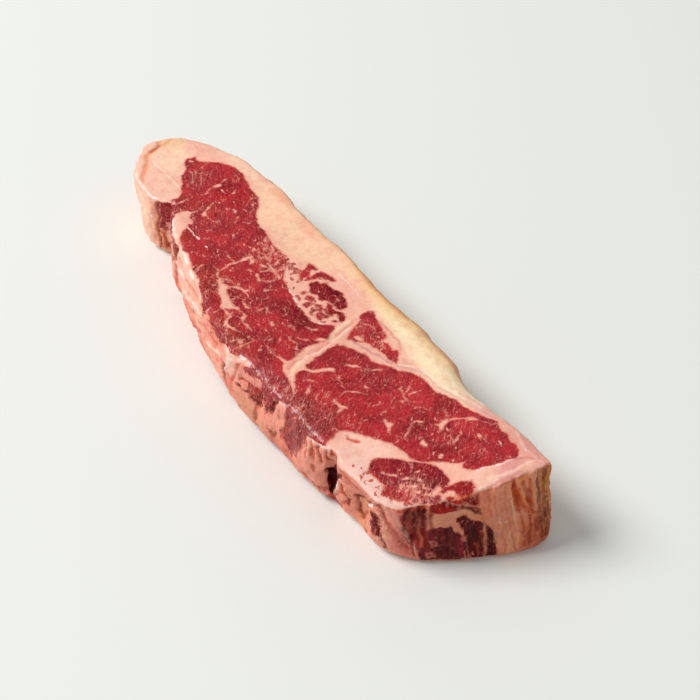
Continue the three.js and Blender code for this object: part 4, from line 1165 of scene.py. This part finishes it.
def meat_material():
    """Fat and lean meat, told apart by the stored depth, whose edge is torn by noise."""
    graph = Graph("raw_meat")
    place = graph.nodes.new("ShaderNodeTexCoord").outputs["Object"]
    place = graph.vector_math("MULTIPLY", place, (1 / MM,) * 3)
    wall = graph.attribute("wall")
    strand_weight = graph.attribute("strands")

    edge = graph.centred(graph.noise(place, size=1.5, detail=4, roughness=0.65), 1.7)
    torn = graph.centred(graph.streaks(stretch=0.14, size=1.6, detail=3, roughness=0.6), 5.0)
    shift = graph.plus(edge, graph.times(torn, graph.attribute("torn")))
    depth = graph.plus(graph.attribute("fat_depth"), shift)
    fat = fat_share(graph, place, depth)
    fleck_noise = graph.streaks(stretch=0.6, size=2.1, detail=4, roughness=0.65)
    fibre = graph.streaks(stretch=0.4, size=1.0, detail=3, roughness=0.6)
    ridges = graph.streaks(stretch=0.08, size=0.8, detail=3, roughness=0.65)

    pale = graph.most(fat, marbled(graph, place, wall, fleck_noise))
    colour = graph.mix(pale, lean_colour(graph, place, wall, fibre), fat_colour(graph, place, depth))
    # Painted shade in the grooves between the ridges that the bump raises
    groove_shade = graph.times(graph.fade(ridges, 0.3, 0.55, 1.2, 0.0), strand_weight)
    colour = graph.mix(groove_shade, colour, GROOVE_SHADE_RED)
    # Painted highlights along the bright lines and wet edges
    glint = graph.fade(graph.plus(graph.attribute("glint"), graph.times(edge, 0.9)), -0.1, 0.3)
    colour = graph.mix(graph.times(glint, 0.7), colour, GLINT_PALE)
    graph.put(graph.shader.inputs["Base Color"], colour)

    relief = graph.plus(graph.centred(fibre, 0.7), graph.centred(fleck_noise, 0.6))
    relief = graph.times(relief, graph.fade(fat, 0.0, 1.0, 1.0, 0.25))
    relief = graph.plus(relief, graph.times(graph.times(torn, 0.25), wall))
    relief = graph.plus(relief, graph.times(graph.fade(ridges, 0.3, 0.7, -0.4, 0.3), strand_weight))
    set_finish(graph, place)
    set_bump(graph, relief)
    return graph.material


def floor_material():
    graph = Graph("pale_floor")
    graph.shader.inputs["Base Color"].default_value = (*linear(FLOOR), 1)
    graph.shader.inputs["Roughness"].default_value = 0.6
    return graph.material


# The studio
def aim(obj, target):
    """Turns a camera or light, which looks along its own -Z, towards the target."""
    obj.rotation_mode = "QUATERNION"
    obj.rotation_quaternion = (Vector(target) - obj.location).to_track_quat("-Z", "Y")


def add_floor():
    mesh = bpy.data.meshes.new("floor")
    corners = [(x * FLOOR_HALF, y * FLOOR_HALF, 0) for x, y in ((-1, -1), (1, -1), (1, 1), (-1, 1))]
    mesh.from_pydata(corners, [], [(0, 1, 2, 3)])
    floor = bpy.data.objects.new("floor", mesh)
    bpy.context.scene.collection.objects.link(floor)
    mesh.materials.append(floor_material())


def add_key_light():
    lamp = bpy.data.lights.new("key", "AREA")
    lamp.shape = "DISK"
    lamp.size = KEY_SIZE
    lamp.energy = KEY_POWER
    light = bpy.data.objects.new("key", lamp)
    light.location = KEY_PLACE
    aim(light, (0, 0, 0))
    bpy.context.scene.collection.objects.link(light)


def add_surroundings():
    world = bpy.data.worlds.new("studio")
    world.use_nodes = True
    background = world.node_tree.nodes["Background"]
    background.inputs["Color"].default_value = (1, 1, 1, 1)
    background.inputs["Strength"].default_value = SKY_STRENGTH
    bpy.context.scene.world = world
    bpy.context.scene.view_settings.view_transform = "Standard"


def add_camera():
    camera = bpy.data.objects.new("camera", bpy.data.cameras.new("camera"))
    camera.data.sensor_width = SENSOR
    camera.data.lens = SENSOR / 2 / math.tan(FIELD_OF_VIEW / 2)
    camera.location = Vector(CAMERA) * MM
    aim(camera, Vector(CAMERA_TARGET) * MM)
    bpy.context.scene.collection.objects.link(camera)
    bpy.context.scene.camera = camera


steak = refined(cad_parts["steak"], "steak_meat")
dress(steak.data)
steak.data.materials.append(meat_material())
steak.data.shade_smooth()
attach(steak, "root")
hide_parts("steak")

add_floor()
add_surroundings()
add_key_light()
add_camera()
